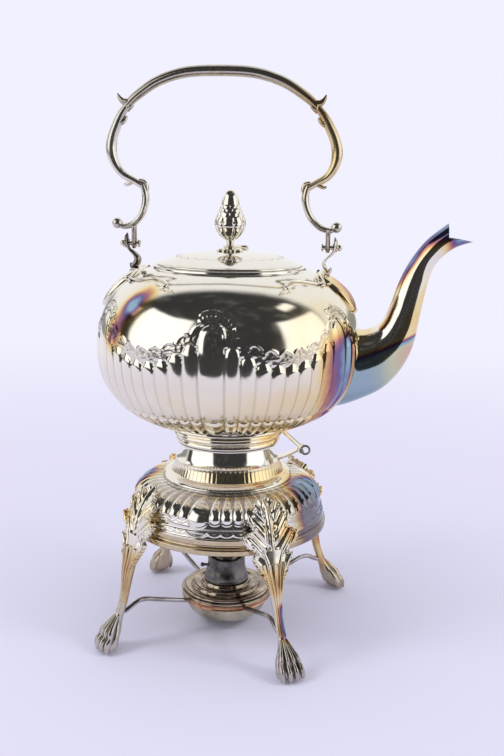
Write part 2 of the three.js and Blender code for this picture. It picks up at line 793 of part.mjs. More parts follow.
// Leg: an acanthus leaf on the bulge, a slim shaft and a paw. Stations down the leg's middle line give
// the distance from the axis, the height, the half width, the half thickness and the kind of section.
// The leaf's half width goes out and in again at each of its lobes.
function legStations() {
  return [
    [58, 119.4, 2.4, 1.4, "leaf"],
    [64, 116.4, 10.5, 2.2, "leaf"],
    [67.6, 113.2, 8.5, 2.8, "leaf"],
    [71.8, 107.4, 17, 3, "leaf"],
    [73.4, 103.6, 14.5, 3.4, "leaf"],
    [75.4, 97, 20.5, 3.4, "leaf"],
    [76.6, 92.6, 18.5, 3.8, "leaf"],
    [78, 86, 18.5, 3.8, "leaf"],
    [79.6, 80.4, 13.5, 4, "leaf"],
    [81.4, 74.4, 13, 4, "leaf"],
    [83, 68, 8.2, 4.4, "leaf"],
    [84.6, 60, 5.6, 4, "shaft"],
    [86, 49, 3.7, 3.4, "shaft"],
    [88, 37, 3.2, 3.2, "shaft"],
    [91.4, 26, 3.7, 3.8, "shaft"],
    [94.6, 18.5, 6.4, 5.8, "paw"],
    [98.6, 11, 9.2, 7.6, "paw"],
    [102, 3.6, 9.8, 8.4, "paw"],
    [105, 2.2, 9, 6, "paw"],
    [107, 1.2, 6, 3.4, "paw"],
  ];
}

// Which share of its splay and sway a leg has at a height.
function bendAt(z) {
  return (Math.max(0, bendStart - z) / bendStart) ** 1.5;
}

// The leg as one loft, standing out along +X. letOut makes it that much fatter.
function legLoft({ splay, sway }, letOut = 0) {
  const sides = 10;
  const stations = legStations();
  const centres = stations.map(([r, z]) => vec(r, 0, z));
  const rings = stations.map(([r, z, half, thick, kind], i) => {
    const before = centres[Math.max(0, i - 1)];
    const after = centres[Math.min(centres.length - 1, i + 1)];
    const along = after.clone().sub(before).normalize();
    const out = vec(-along.z, 0, along.x);
    const ring = [];
    for (let k = 0; k < sides; k += 1) {
      const angle = (2 * Math.PI * k) / sides;
      let across = Math.sin(angle);
      let lift = Math.cos(angle);
      if (kind === "leaf") {
        const vein = k === 0 ? 1.25 : 1;
        const fold = k % 2 === 1 ? 0.72 : 1;
        lift = lift > 0 ? lift ** 0.6 * vein * fold : lift * 0.8;
      }
      if (kind === "paw") {
        const toe = lift > 0.1 && k % 2 === 1 ? 1.12 : 0.96;
        across *= toe;
        lift *= toe;
      }
      const point = vec(r + splay * bendAt(z), 0, z).addScaledVector(out, (thick + letOut) * lift);
      point.y = (half + letOut) * across + sway * bendAt(z);
      point.z = Math.max(0, point.z);
      ring.push(point);
    }
    return ring;
  });
  return skin(rings);
}

function leg(place) {
  return cut(legLoft(place), standTool(gap)).rotateZ(rad(place.azimuth));
}

// A thin bar from the burner ring up and out to the inside of a leg.
function stretcher(place) {
  const bend = bendAt(stretcherEnd);
  const reach = 84.2 + place.splay * bend;
  const path = new THREE.CatmullRomCurve3([
    vec(burnerRingRadius - 1, 0, 22.2), vec(44, 0, 25.4), vec(60, 0, 30), vec(70, 0, 32.8), vec(77, 0, 33),
    vec(reach, 0, stretcherEnd), vec(reach + 4.3, 0, 28),
  ], false, "centripetal");
  const section = new THREE.Shape();
  section.absarc(0, 0, stretcherRadius, 0, 2 * Math.PI, false);
  const settings = { steps: 8, curveSegments: 3, bevelEnabled: false, extrudePath: path };
  const bar = new THREE.ExtrudeGeometry(section, settings).rotateZ(Math.atan2(place.sway * bend, reach));
  const whole = cut(bar, legLoft(place, gap)).rotateZ(rad(place.azimuth));
  const clear = burnerRingRadius + gap;
  return cut(whole, turned([[0, 15], [clear, 15], [clear, 28], [0, 28]], burnerSides));
}

// Burner.
function burnerRing() {
  const inside = burnerRadius + 0.6;
  return turned([
    [inside, 20.4], [burnerRingRadius - 0.6, 20.2], [burnerRingRadius, 21.2],
    [burnerRingRadius, burnerRingTop], [inside, burnerRingTop],
  ], burnerSides);
}

function burnerBowl() {
  return turned([
    [0, 5.2], [17, 5.6], [25.6, 8.8], [30.4, 15], [burnerRadius, 24.9], [34.4, 24.9], [34.4, 26.4],
    [30.4, 26.4], [29, 15.4], [24.6, 10], [16.6, 7], [0, 6.6],
  ], 20);
}

function burnerCover() {
  return turned([
    [12.4, 31.8], [12.4, 33], [17.6, 33], [19.4, 31.4], [23.8, 30.8], [24.8, 29], [32.4, 28.4], [33, 26.7],
    [28.8, 26.7], [28.8, 25], [27.6, 25], [27.6, 27.4], [18.6, 30.2],
  ], 16);
}

function wickTube() {
  return turned([
    [8.6, 12], [9.8, 12], [9.8, 33.3], [13.2, 33.3], [13.2, 34.4], [9.8, 34.8], [9.8, 53], [8.6, 53],
  ], 14);
}

function wick() {
  return turned([[0, 9], [7.9, 9], [7.9, 52], [6, 55.4], [0, 56.2]], 14);
}

function flameSleeve() {
  const sleeve = turned([
    [15.4, 33.3], [16.6, 33.3], [16.2, 37], [14.3, 45], [14, 51.4], [12.8, 51.4], [13.1, 45], [15, 37],
  ], 16);
  const knob = join(rod(vec(-13.8, 0, 43.6), vec(-18, 0, 43.8), 0.9, 6), ball(vec(-18.6, 0, 43.8), 1.7, 6));
  return join(sleeve, knob.rotateZ(rad(10)));
}

add("kettle_body", kettleBody(), silver);
add("kettle_foot", kettleFoot(), silver);
add("mouth_collar", mouthCollar(), silver);
add("spout", spout(), tarnished);
add("lid", lid(), silver);
add("lid_flange", lidFlange(), silver);
add("finial_stem", finialStem(), silver);
add("finial_bud", finialBud(), silver);
add("finial_nut", finialNut(), silver);
add("lid_hinge_leaf", lidHingeLeaf(), silver);
add("body_hinge_leaf", bodyHingeLeaf(), silver);
add("lid_hinge_pin", lidHingePin(), silver);
[["left", -1], ["right", 1]].forEach(([name, side]) => {
  add(`escutcheon_${name}`, escutcheon(side), silver);
  add(`ear_${name}`, ear(side), silver);
  add(`handle_pin_${name}`, handlePin(side), silver);
  add(`handle_scroll_${name}`, handleScroll(side), silver);
});
add("handle_grip", handleGrip(), silver);
add("kettle_strap", kettleStrap(), silver);
add("stand_strap", standStrap(), silver);
add("tilt_pin", tiltPin(), darkMetal);
add("stand_shell", standShell(), silver);
add("neck_ring", neckRing(), silver);
legs.forEach((place) => {
  add(`leg_${place.name}`, leg(place), tarnished);
  add(`stretcher_${place.name}`, stretcher(place), silver);
});
add("burner_ring", burnerRing(), copper);
add("burner_bowl", burnerBowl(), silver);
add("burner_cover", burnerCover(), silver);
add("wick_tube", wickTube(), darkMetal);
add("wick", wick(), cotton);
add("flame_sleeve", flameSleeve(), darkMetal);

export default object;
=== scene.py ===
# A silver-plated spirit kettle on its stand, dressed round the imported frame.
# Metres, +Z up, the spout towards +X and the front of the kettle towards -Y.
import math

import bpy
import numpy as np
from mathutils import Matrix, Vector


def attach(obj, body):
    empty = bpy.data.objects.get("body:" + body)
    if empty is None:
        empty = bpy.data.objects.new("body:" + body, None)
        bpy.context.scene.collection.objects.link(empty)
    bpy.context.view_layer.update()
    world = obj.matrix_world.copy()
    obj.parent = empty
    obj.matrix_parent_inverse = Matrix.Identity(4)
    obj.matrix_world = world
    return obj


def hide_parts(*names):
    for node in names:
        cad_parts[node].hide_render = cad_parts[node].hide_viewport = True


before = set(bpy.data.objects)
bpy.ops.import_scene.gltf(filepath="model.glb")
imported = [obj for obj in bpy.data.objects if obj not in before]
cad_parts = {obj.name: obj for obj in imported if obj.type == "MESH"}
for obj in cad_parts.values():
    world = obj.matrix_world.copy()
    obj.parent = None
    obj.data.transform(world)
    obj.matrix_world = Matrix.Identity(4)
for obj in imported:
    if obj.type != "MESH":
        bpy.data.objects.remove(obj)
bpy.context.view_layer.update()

# Camera.
# It stands where the photograph's stood, a little to the spout side of the front and above the lid.
# The lens is the photograph's own for a frame whose long side measures 36 mm.
camera_place = (0.0805, -0.6553, 0.3324)
heading = math.radians(5.507)
pitch_down = math.radians(12.14)
roll = math.radians(0.955)
camera_data = bpy.data.cameras.new("camera")
camera_data.sensor_fit = "VERTICAL"
camera_data.sensor_height = 36
camera_data.lens = 43.673
camera = bpy.data.objects.new("camera", camera_data)
camera.matrix_world = (
    Matrix.Translation(camera_place)
    @ Matrix.Rotation(heading, 4, "Z")
    @ Matrix.Rotation(math.pi / 2 - pitch_down, 4, "X")
    @ Matrix.Rotation(roll, 4, "Z")
)
bpy.context.scene.collection.objects.link(camera)
bpy.context.scene.camera = camera
bpy.context.scene.view_settings.view_transform = "Standard"


# Studio.
# A pale table that fades into a pale background, and the room that the silver mirrors: white paper
# behind and above, a darker room in front with windows on both sides, and two narrow dark screens.
class Wire:
    """One value in a node tree. Arithmetic on it adds Math nodes."""

    def __init__(self, net, socket):
        self.net = net
        self.socket = socket

    def math(self, operation, *others):
        return self.net.add("ShaderNodeMath", {"operation": operation}, dict(enumerate([self, *others])))

    def __add__(self, other):
        return self.math("ADD", other)

    def __sub__(self, other):
        return self.math("SUBTRACT", other)

    def __mul__(self, other):
        return self.math("MULTIPLY", other)

    def __truediv__(self, other):
        return self.math("DIVIDE", other)

    def __pow__(self, other):
        return self.math("POWER", other)

    def __neg__(self):
        return self.math("MULTIPLY", -1.0)

    def __rsub__(self, other):
        return self.net.add("ShaderNodeMath", {"operation": "SUBTRACT"}, {0: other, 1: self})

    def __rtruediv__(self, other):
        return self.net.add("ShaderNodeMath", {"operation": "DIVIDE"}, {0: other, 1: self})

    __radd__ = __add__
    __rmul__ = __mul__

    def at_least(self, low):
        return self.math("MAXIMUM", low)

    def at_most(self, high):
        return self.math("MINIMUM", high)

    def step(self, low, high):
        """Rises smoothly from 0 at low to 1 at high. low may be the larger one."""
        settings = {"interpolation_type": "SMOOTHSTEP"}
        if low < high:
            return self.net.add("ShaderNodeMapRange", settings, {0: self, 1: low, 2: high})
        return self.net.add("ShaderNodeMapRange", settings, {0: self, 1: high, 2: low, 3: 1.0, 4: 0.0})

    def inside(self, low, high, soft):
        """1 between low and high, 0 outside, with soft edges."""
        return self.step(low - soft, low + soft) * self.step(high + soft, high - soft)

    def xyz(self):
        node = self.net.tree.nodes.new("ShaderNodeSeparateXYZ")
        self.net.tree.links.new(self.socket, node.inputs[0])
        return [Wire(self.net, out) for out in node.outputs]


class Net:
    """A node tree that nodes are added to."""

    def __init__(self, tree):
        self.tree = tree
        self.tree.nodes.clear()

    def add(self, kind, settings=None, inputs=None, output=0):
        node = self.tree.nodes.new(kind)
        for key, value in (settings or {}).items():
            if key == "stops":
                ramp = node.color_ramp.elements
                while len(ramp) < len(value):
                    ramp.new(1.0)
                for stop, (place, colour) in zip(ramp, value):
                    stop.position = place
                    stop.color = (*colour, 1.0)
            else:
                setattr(node, key, value)
        for key, value in (inputs or {}).items():
            if isinstance(value, Wire):
                self.tree.links.new(value.socket, node.inputs[key])
            else:
                node.inputs[key].default_value = value
        return Wire(self, node.outputs[output]) if node.outputs else None

    def mix(self, share, low, high):
        """A colour between two colours."""
        colours = [(*c, 1.0) if isinstance(c, tuple) else c for c in (low, high)]
        return self.add("ShaderNodeMix", {"data_type": "RGBA"}, {0: share, 6: colours[0], 7: colours[1]}, 2)

    def noise(self, place, scale, detail=3.0, rough=0.55):
        inputs = {"Vector": place, "Scale": scale, "Detail": detail, "Roughness": rough}
        return self.add("ShaderNodeTexNoise", None, inputs)

    def vector(self, operation, inputs, output=0):
        return self.add("ShaderNodeVectorMath", {"operation": operation}, inputs, output)


background = (0.885, 0.88, 1.0)
white_paper = (0.93, 0.93, 0.95)
dark_room = (0.035, 0.035, 0.038)
room_clutter = (0.3, 0.29, 0.28)
window_light = (1.25, 1.25, 1.27)
diffuse_light = (0.8, 0.8, 0.83)

world = bpy.data.worlds.new("room")
world.use_nodes = True
bpy.context.scene.world = world
net = Net(world.node_tree)
across, depth, height = net.add("ShaderNodeTexCoord").xyz()
turn = across.math("ARCTAN2", -depth) * (180 / math.pi)
rise = height.math("ARCSINE") * (180 / math.pi)


def patches(areas, soft):
    """1 on areas of the room. Each is given by its west, east, low and high edges in degrees."""
    total = 0.0
    for west, east, low, high in areas:
        total = turn.inside(west, east, soft) * rise.inside(low, high, soft) + total
    return total


windows = patches([(-88, -30, -2, 42), (56, 104, -14, 38), (80, 100, 51, 59), (-112, -96, 24, 34)], 2.0)
windows = windows.at_most(1.0)
screens = patches([(-152, -108, -14, 8), (126, 168, -12, 8)], 3.0)
front = depth.step(0.32, 0.14)
dark = (front * (1.0 - windows) + screens * 0.7).at_most(1.0)
clutter = net.noise(net.add("ShaderNodeTexCoord"), 5.0)
room = net.mix(dark, white_paper, dark_room)
room = net.mix(clutter.step(0.5, 0.75) * dark * 0.35, room, room_clutter)
room = net.mix(windows * front, room, window_light)
camera_ray = net.add("ShaderNodeLightPath")
glossy_ray = net.add("ShaderNodeLightPath", output=3)
seen = net.mix(glossy_ray, diffuse_light, room)
seen = net.mix(camera_ray, seen, background)
net.add("ShaderNodeOutputWorld", None, {0: net.add("ShaderNodeBackground", None, {0: seen, 1: 1.0})})


def material(name):
    made = bpy.data.materials.new(name)
    made.use_nodes = True
    return made, Net(made.node_tree)


floor_radius = 3.0
floor_shade = (0.7, 0.69, 0.84)
floor_glow = (0.77, 0.75, 0.935)
floor_unlit = (0.04, 0.04, 0.042)
table_edge = -0.72
floor_paint, net = material("table_paint")
along_x, along_y, _ = net.add("ShaderNodeTexCoord", output=3).xyz()
away = (along_x * along_x + along_y * along_y) ** 0.5
matt = net.add("ShaderNodeBsdfDiffuse", None, {0: (*floor_shade, 1)})
glow = net.add("ShaderNodeEmission", None, {0: net.mix(away.step(0.3, 1.4), floor_glow, background)})
surface = net.add("ShaderNodeMixShader", None, {0: away.step(0.07, 0.45), 1: matt, 2: glow})
past_edge = along_y.step(table_edge + 0.02, table_edge - 0.02) * net.add("ShaderNodeLightPath", output=3)
unlit = net.add("ShaderNodeEmission", None, {0: (*floor_unlit, 1)})
surface = net.add("ShaderNodeMixShader", None, {0: past_edge, 1: surface, 2: unlit})
net.add("ShaderNodeOutputMaterial", None, {0: surface})
bpy.ops.mesh.primitive_circle_add(vertices=96, radius=floor_radius, fill_type="NGON")
floor = bpy.context.object
floor.name = "table"
floor.data.materials.append(floor_paint)


def soft_lamp(name, place, aim, width, power):
    data = bpy.data.lights.new(name, "AREA")
    data.shape = "DISK"
    data.size = width
    data.energy = power
    lamp = bpy.data.objects.new(name, data)
    lamp.location = place
    lamp.rotation_euler = (Vector(aim) - Vector(place)).to_track_quat("-Z", "Y").to_euler()
    lamp.visible_glossy = False
    bpy.context.scene.collection.objects.link(lamp)


soft_lamp("lamp_left", (-0.9, -0.5, 1.1), (0, 0, 0.15), 0.5, 6)
soft_lamp("lamp_right", (1.0, -0.3, 1.0), (0, 0, 0.15), 0.4, 4)


# Kettle body.
# A round belly raised from sheet, silver plated. Its lower half is fluted by hand: six wide lobes,
# each followed by eight narrow ones whose tops hang in a swag, under a chased scalloped border.
mm = 0.001
belly_radius = 94 * mm
belly_middle = 217 * mm
belly_half_height = 62 * mm
belly_power = 2.5


def belly_at(height):
    rise = min(abs(height - belly_middle) / belly_half_height, 0.9999)
    return belly_radius * (1 - rise ** belly_power) ** (1 / belly_power)


def blended(points, per=8):
    """A smooth line through points of any dimension, per steps for each stretch. A point that is given
    twice running makes a corner."""
    p = [np.array(q, float) for q in points]
    p = [2 * p[0] - p[1], *p, 2 * p[-1] - p[-2]]
    out = []
    for i in range(1, len(p) - 2):
        before, a, b, after = p[i - 1:i + 3]
        if np.allclose(a, b):
            continue
        start = (b - before) / 2 if not np.allclose(before, a) else b - a
        end = (after - a) / 2 if not np.allclose(after, b) else b - a
        for k in range(per):
            t = k / per
            out.append(
                (2 * t**3 - 3 * t**2 + 1) * a + (t**3 - 2 * t**2 + t) * start
                + (3 * t**2 - 2 * t**3) * b + (t**3 - t**2) * end
            )
    out.append(p[-2])
    return np.array(out)


def skin(rings, looped=False):
    """Points and faces of a closed skin over rings of equal count. It closes on its first ring, or has a
    hub at each end. Its faces point outwards."""
    rings = np.asarray(rings, float)
    count, around = rings.shape[:2]
    k = np.arange(around)
    row = np.arange(count if looped else count - 1)[:, None]
    low = row * around + k
    high = (row + 1) % count * around + k
    quads = np.stack([low, np.roll(low, -1, 1), np.roll(high, -1, 1), high], 2).reshape(-1, 4)
    points = rings.reshape(-1, 3)
    caps = np.zeros((0, 3), int)
    if not looped:
        last = (count - 1) * around + k
        caps = np.vstack([
            np.stack([np.roll(k, -1), k, np.full(around, len(points))], 1),
            np.stack([last, np.roll(last, -1), np.full(around, len(points) + 1)], 1),
        ])
        points = np.vstack([points, rings[[0, -1]].mean(1)])
    corners = points[np.vstack([quads[:, :3], quads[:, [0, 2, 3]], caps])] - points.mean(0)
    volume = np.einsum("ij,ij->", corners[:, 0], np.cross(corners[:, 1], corners[:, 2]))
    faces = quads.tolist() + caps.tolist()
    return points, faces if volume > 0 else [face[::-1] for face in faces]


def joined(*parts):
    """Several skins in one mesh."""
    points = np.vstack([p for p, _ in parts])
    faces = []
    start = 0
    for p, f in parts:
        faces += [[i + start for i in face] for face in f]
        start += len(p)
    return points, faces


def lathe(profile, around=96):
    """A turned shape. The profile closes on itself, or starts and ends on the axis."""
    profile = np.asarray(profile, float)
    angle = np.linspace(0, 2 * math.pi, around, endpoint=False)
    rings = [np.stack([r * np.cos(angle), r * np.sin(angle), np.full(around, z)], 1) for r, z in profile]
    on_axis = profile[0][0] < 1e-6 and profile[-1][0] < 1e-6
    if on_axis:
        points, faces = skin(rings[1:-1])
        points[-2, 2] = profile[0][1]
        points[-1, 2] = profile[-1][1]
        return points, faces
    return skin(rings, looped=True)


def solid(name, shape, finish, crease=38):
    """A mesh object with smooth faces and crisp edges."""
    points, faces = shape
    mesh = bpy.data.meshes.new(name)
    mesh.from_pydata(np.asarray(points).tolist(), [], faces)
    mesh.shade_smooth()
    mesh.set_sharp_from_angle(angle=math.radians(crease))
    mesh.materials.append(finish)
    made = bpy.data.objects.new(name, mesh)
    bpy.context.scene.collection.objects.link(made)
    return made


def turned(name, profile, around, finish, crease=38):
    """A turned piece. Its profile is in millimetres."""
    return solid(name, lathe(np.array(profile) * mm, around), finish, crease)


def fit(made, body, slot, *nodes):
    """The piece rides on its body and stands for the CAD nodes of the same form."""
    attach(made, body)
    if nodes:
        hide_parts(*nodes)


# Film of tarnish on the plate, from bare silver through straw, copper, purple and blue to grey, and on to
# the paler colours of a thicker film.
thickest_film = 1.5
film_colours = [(thickness / thickest_film, colour) for thickness, colour in (
    (0.0, (0.9, 0.87, 0.81)), (0.2, (0.9, 0.83, 0.66)), (0.36, (0.88, 0.68, 0.33)),
    (0.48, (0.68, 0.36, 0.16)), (0.58, (0.36, 0.14, 0.2)), (0.7, (0.15, 0.13, 0.3)),
    (0.84, (0.28, 0.42, 0.55)), (1.0, (0.42, 0.5, 0.46)), (1.15, (0.62, 0.64, 0.42)),
    (1.3, (0.74, 0.5, 0.36)), (1.45, (0.4, 0.26, 0.34)),
)]
soil_colour = (0.12, 0.085, 0.05)
# A dark grey for grey marks on the plate, and for painted shade where it stands in for dark reflections.
grey_and_shade_colour = (0.21, 0.17, 0.16)


def spot(place, centre, radius, net):
    """1 at a point in millimetres, falling to 0 at the radius."""
    gap = net.vector("DISTANCE", {0: place, 1: tuple(c * mm for c in centre)}, 1)
    return gap.step(radius * mm, 0.0)


def streak(place, start, end, radius, net):
    """1 on the line between two points in millimetres, falling to 0 at the radius."""
    first = Vector(start) * mm
    run = (Vector(end) - Vector(start)) * mm
    from_first = net.vector("SUBTRACT", {0: place, 1: first})
    share = net.vector("DOT_PRODUCT", {0: from_first, 1: run / run.dot(run)}, 1)
    nearest = net.vector("SCALE", {0: run, 3: share.step(-0.2, 1.2)})
    gap = net.vector("DISTANCE", {0: from_first, 1: nearest}, 1)
    return gap.step(radius * mm, 0.0)


def shine(net, inputs):
    """Ends a material with one surface shader."""
    shader = net.add("ShaderNodeBsdfPrincipled", None, inputs)
    net.add("ShaderNodeOutputMaterial", None, {0: shader})


def plate(name, film=None, base=0.05, wander=0.1, rough=0.09, grey_and_shade=None):
    """Polished silver plate: a thin uneven film of tarnish, fine scratches, and dark in its hollows. The last
    argument says where the plate is made dull and grey: grey marks, darker legs low down, and on the left ear
    painted shade that stands in for dark reflections."""
    made, net = material(name)
    place = net.add("ShaderNodeTexCoord", output=3)
    cloud = net.noise(place, 34.0, 4.0)
    fine = net.noise(place, 260.0, 2.0)
    thick = base + (cloud - 0.5) * wander * 2.0 + (fine - 0.5) * 0.03
    if film:
        thick = thick + film(place, net)
    colour = net.add("ShaderNodeValToRGB", {"stops": film_colours}, {0: thick / thickest_film})
    hollow = net.add("ShaderNodeAttribute", {"attribute_name": "soil"}, None, 2)
    colour = net.mix(hollow * (0.75 + cloud * 0.3), colour, soil_colour)
    dull = rough + (cloud - 0.4).at_least(0.0) * 0.16 + hollow * 0.22
    # Grey marks, and painted shade that stands in for dark reflections, are mixed into the colour here.
    if grey_and_shade:
        colour = net.mix(grey_and_shade(place, net) * (fine * 0.9 + 0.5), colour, grey_and_shade_colour)
    scratch = net.add("ShaderNodeMapping", {"vector_type": "POINT"}, {0: place, 3: (900.0, 900.0, 120.0)})
    scratches = net.noise(scratch, 1.0, 2.0)
    height = net.noise(place, 70.0, 1.0) + scratches * 0.05
    bump = net.add("ShaderNodeBump", None, {"Strength": 0.35, "Distance": 0.00025, "Height": height})
    shine(net, {"Base Color": colour, "Metallic": 1.0, "Roughness": dull, "Normal": bump})
    return made


def body_film(place, net):
    """Heat marks: a streak on the left shoulder, bands down the flutes on both sides of the spout, a patch
    at the back and a film over the low part."""
    wander = net.noise(place, 30.0, 3.0) - 0.5
    ripple = (net.noise(place, 110.0, 3.0) - 0.5) * 0.3
    x, y, z = place.xyz()
    shoulder = streak(place, (-49, -64, 257), (-71, -61, 230), 22, net) ** 1.4 * 0.56
    shoulder = shoulder + spot(place, (-57, -62, 251), 13, net) * 0.3
    off_spout = y.math("ARCTAN2", x).math("ABSOLUTE") * (180 / math.pi) + wander * 6.0 + 2.0
    flank = off_spout.step(60.0, 23.0) * 0.86 * (1.0 - off_spout.step(26.0, 14.0) * 0.75)
    flank = flank * z.step(0.25, 0.22) * (z.step(0.16, 0.215) * 0.32 + 0.62)
    straw = off_spout.step(82.0, 52.0) * z.step(0.268, 0.25) * z.step(0.2, 0.225) * 0.16
    back = spot(place, (-84, 44, 200), 44, net) * 0.45
    lower = z.step(0.218, 0.192) * (x + 0.17)
    marks = shoulder.at_least(flank).at_least(back)
    return marks.at_least(lower + straw) + ripple * marks.at_most(0.5)


body_plate = plate("body_silver", body_film, base=0.06)


def lobes_round(x, y, value):
    """Where a point lies among the lobes that go round a turned shell: u runs from -1 to 1 across a lobe."""
    sector = 360.0 / value["Wide lobes"]
    narrow = (sector - value["Wide angle"]) / value["Narrow lobes"]
    turn = y.math("ARCTAN2", x) * (180 / math.pi) - value["Start"] + value["Wide angle"] * 0.5 + 720.0
    local = turn.math("MODULO", sector)
    wide = local.math("LESS_THAN", value["Wide angle"])
    in_narrow = (local - value["Wide angle"]) / narrow
    number = in_narrow.math("FLOOR")
    across_narrow = in_narrow - number
    across = across_narrow + (local / value["Wide angle"] - across_narrow) * wide
    width = narrow + (value["Wide angle"] - narrow) * wide
    return {"u": across * 2.0 - 1.0, "width": width, "wide": wide, "in_narrow": in_narrow, "sector": sector,
            "narrow": narrow, "local": local, "number": number}


def node_group(name, sizes, counts=()):
    """A new node group that works on a shell: its net and its inputs by name. Those in counts are whole
    numbers."""
    tree = bpy.data.node_groups.new(name, "GeometryNodeTree")
    net = Net(tree)
    tree.interface.new_socket("Shell", in_out="INPUT", socket_type="NodeSocketGeometry")
    for label in sizes:
        kind = "NodeSocketInt" if label in counts else "NodeSocketFloat"
        tree.interface.new_socket(label, in_out="INPUT", socket_type=kind)
    tree.interface.new_socket("Finish", in_out="INPUT", socket_type="NodeSocketMaterial")
    tree.interface.new_socket("Worked", in_out="OUTPUT", socket_type="NodeSocketGeometry")
    return net, {out.name: Wire(net, out) for out in tree.nodes.new("NodeGroupInput").outputs}


def finished(net, value, shell):
    """Ends a node group: the shell is one mesh in its finish."""
    shell = net.add("GeometryNodeRealizeInstances", None, {0: shell})
    shell = net.add("GeometryNodeSetMaterial", None, {0: shell, 2: value["Finish"]})
    net.tree.links.new(shell.socket, net.tree.nodes.new("NodeGroupOutput").inputs[0])
    return net.tree


def chased_shell(net, value, direction, push, soil):
    """Ends a node group that raises relief: the outer side is pushed out, and soil lies in its hollows."""
    outer = net.add("GeometryNodeInputNamedAttribute", {"data_type": "FLOAT"}, {0: "outer"})
    offset = net.vector("SCALE", {0: direction, 3: push * outer})
    shell = net.add("GeometryNodeSetPosition", None, {0: value["Shell"], 3: offset})
    shell = net.add("GeometryNodeStoreNamedAttribute", {"data_type": "FLOAT", "domain": "POINT"},
                    {"Geometry": shell, "Name": "soil", "Value": soil.at_least(0.0).at_most(1.0) * outer})
    return finished(net, value, shell)


def crest(gap):
    """1 on a line, falling away on both sides of it."""
    return (-(gap * gap)).math("EXPONENT")


def fluting(name, sizes):
    """A node group that raises lobes on a turned shell: wide ones, with narrow ones between them."""
    net, value = node_group(name, sizes)
    place = net.add("GeometryNodeInputPosition")
    x, y, z = place.xyz()
    radius = (x * x + y * y) ** 0.5
    lobe = lobes_round(x, y, value)
    u, is_wide, in_narrow, local, sector = (lobe[k] for k in ("u", "wide", "in_narrow", "local", "sector"))
    half = radius * lobe["width"] * (math.pi / 360)
    along = (value["Wide angle"] * 0.5 + (lobe["number"] + 0.5) * lobe["narrow"]) / sector
    sag = (along * math.pi).math("SINE").at_least(0.0) ** 0.8
    top = value["Top"] - sag * value["Swag drop"] * (1.0 - is_wide)
    # The lobes end above in a round arch, and below in a flatter one.
    arch = half * 1.35
    over = ((z - (top - arch)) / arch).at_least(0.0)
    under = ((value["Pinch"] + half * 0.4 - z) / (half * 0.4)).at_least(0.0)
    reach = (u * u + over * over + under * under).at_most(1.0)
    raised = (1.0 - reach) ** 0.42
    fluted = (top - z).step(-0.4 * mm, 1.2 * mm)
    # Below the pinch short lobes run on to the foot.
    low_over = ((z - (value["Pinch"] - half * 0.3)) / (half * 0.3)).at_least(0.0)
    low_reach = (u * u * 1.1 + low_over * low_over).at_most(1.0)
    low_lobe = (1.0 - low_reach) * (z - value["Foot"]).step(0.0, 3.4 * mm)
    # The chased border follows the tops of the lobes at a distance, in small scallops.
    past_wide = local - value["Wide angle"] * 0.5
    smooth_sag = (past_wide / sector * math.pi).math("SINE").math("ABSOLUTE") ** 0.8
    middle = value["Top"] - smooth_sag * value["Swag drop"]
    shifted = (in_narrow + 0.5).math("FRACT") * 2.0 - 1.0
    scallop = (1.0 - shifted * shifted).at_least(0.0) ** 0.5
    line = middle + value["Border"] - 1.6 * mm + scallop * half * 1.15
    # Over each wide lobe it makes a big arch: two rims, and a row of beads between them.
    from_wide = radius * past_wide * (math.pi / 180)
    over_wide = z - (value["Top"] - 6.6 * mm)
    ring = (from_wide * from_wide + over_wide * over_wide) ** 0.5
    past_arch = ring - value["Arch"]
    arch_zone = (value["Arch"] + 0.9 * mm - ring).step(-0.3 * mm, 0.3 * mm)
    arch_zone = arch_zone * (z - value["Top"]).step(-9 * mm, -6 * mm)
    bead = (over_wide.math("ARCTAN2", from_wide) * 28.0).math("COSINE").step(-0.6, 0.6)
    rims = (crest(past_arch / (0.6 * mm)) + crest((past_arch + 5.2 * mm) / (0.9 * mm)) * 1.2
            + crest((past_arch + 2.5 * mm) / (0.9 * mm)) * bead * 0.9)
    ridge = crest((z - line) / ((shifted * shifted * 0.7 + 0.5) * mm))
    ridge = ridge * (1.0 - arch_zone) * (1.0 - is_wide * 0.7)
    # The ground between the border and the lobes is matted, with a fan of leafage in each scallop.
    band = (line - z).step(0.0, 0.8 * mm) * (z - top).step(-0.2 * mm, 0.9 * mm)
    band = band * (1.0 - raised.step(0.0, 0.2))
    leafage = net.noise(place, 420.0, 1.5, 0.5)
    curls = net.add("ShaderNodeTexVoronoi", {"feature": "SMOOTH_F1"}, {"Vector": place, "Scale": 300.0})
    fan = (z - line + half * 1.3).math("ARCTAN2", shifted * half)
    hatch = (fan * 9.0).math("COSINE").step(0.4, 1.0) * (1.0 - arch_zone)
    pattern = (leafage - 0.5) * 0.25 + (curls - 0.4) * 0.3 + hatch * 0.8
    chased = ridge * 0.75 * mm + rims * arch_zone * 0.9 * mm + band * (pattern * 0.3 - 0.12) * mm
    sunk = fluted * (z - value["Pinch"]).step(-1 * mm, 2 * mm)
    low_sunk = (value["Pinch"] + 1 * mm - z).step(0.0, 1.5 * mm) * (z - value["Foot"]).step(0.0, 4 * mm)
    relief = (raised * value["Relief"] - sunk * value["Relief"] * 0.35 + low_lobe * value["Relief"] * 1.4
              - low_sunk * value["Relief"] * 0.35)
    valley = (u * u).step(0.72, 1.0) * fluted * 0.5
    valley = valley + low_reach.step(0.8, 1.0) * (value["Pinch"] - z).step(0, 2 * mm) * 0.1
    soil = valley + band * (0.3 - pattern * 0.4) * value["Chasing"]
    flatter = net.vector("MULTIPLY", {0: net.add("GeometryNodeInputNormal"), 1: (1.0, 1.0, 0.55)})
    return chased_shell(net, value, flatter, relief + chased * value["Chasing"], soil)


def on_belly(angle, height, lift):
    """A point over the kettle's wall: degrees round it, height and distance off it."""
    step = 0.3 * mm
    slope = (belly_at(height + step) - belly_at(height - step)) / (2 * step)
    size = math.hypot(1, slope)
    radius = belly_at(height) + lift / size
    turn = math.radians(angle)
    return (radius * math.cos(turn), radius * math.sin(turn), height - lift * slope / size)


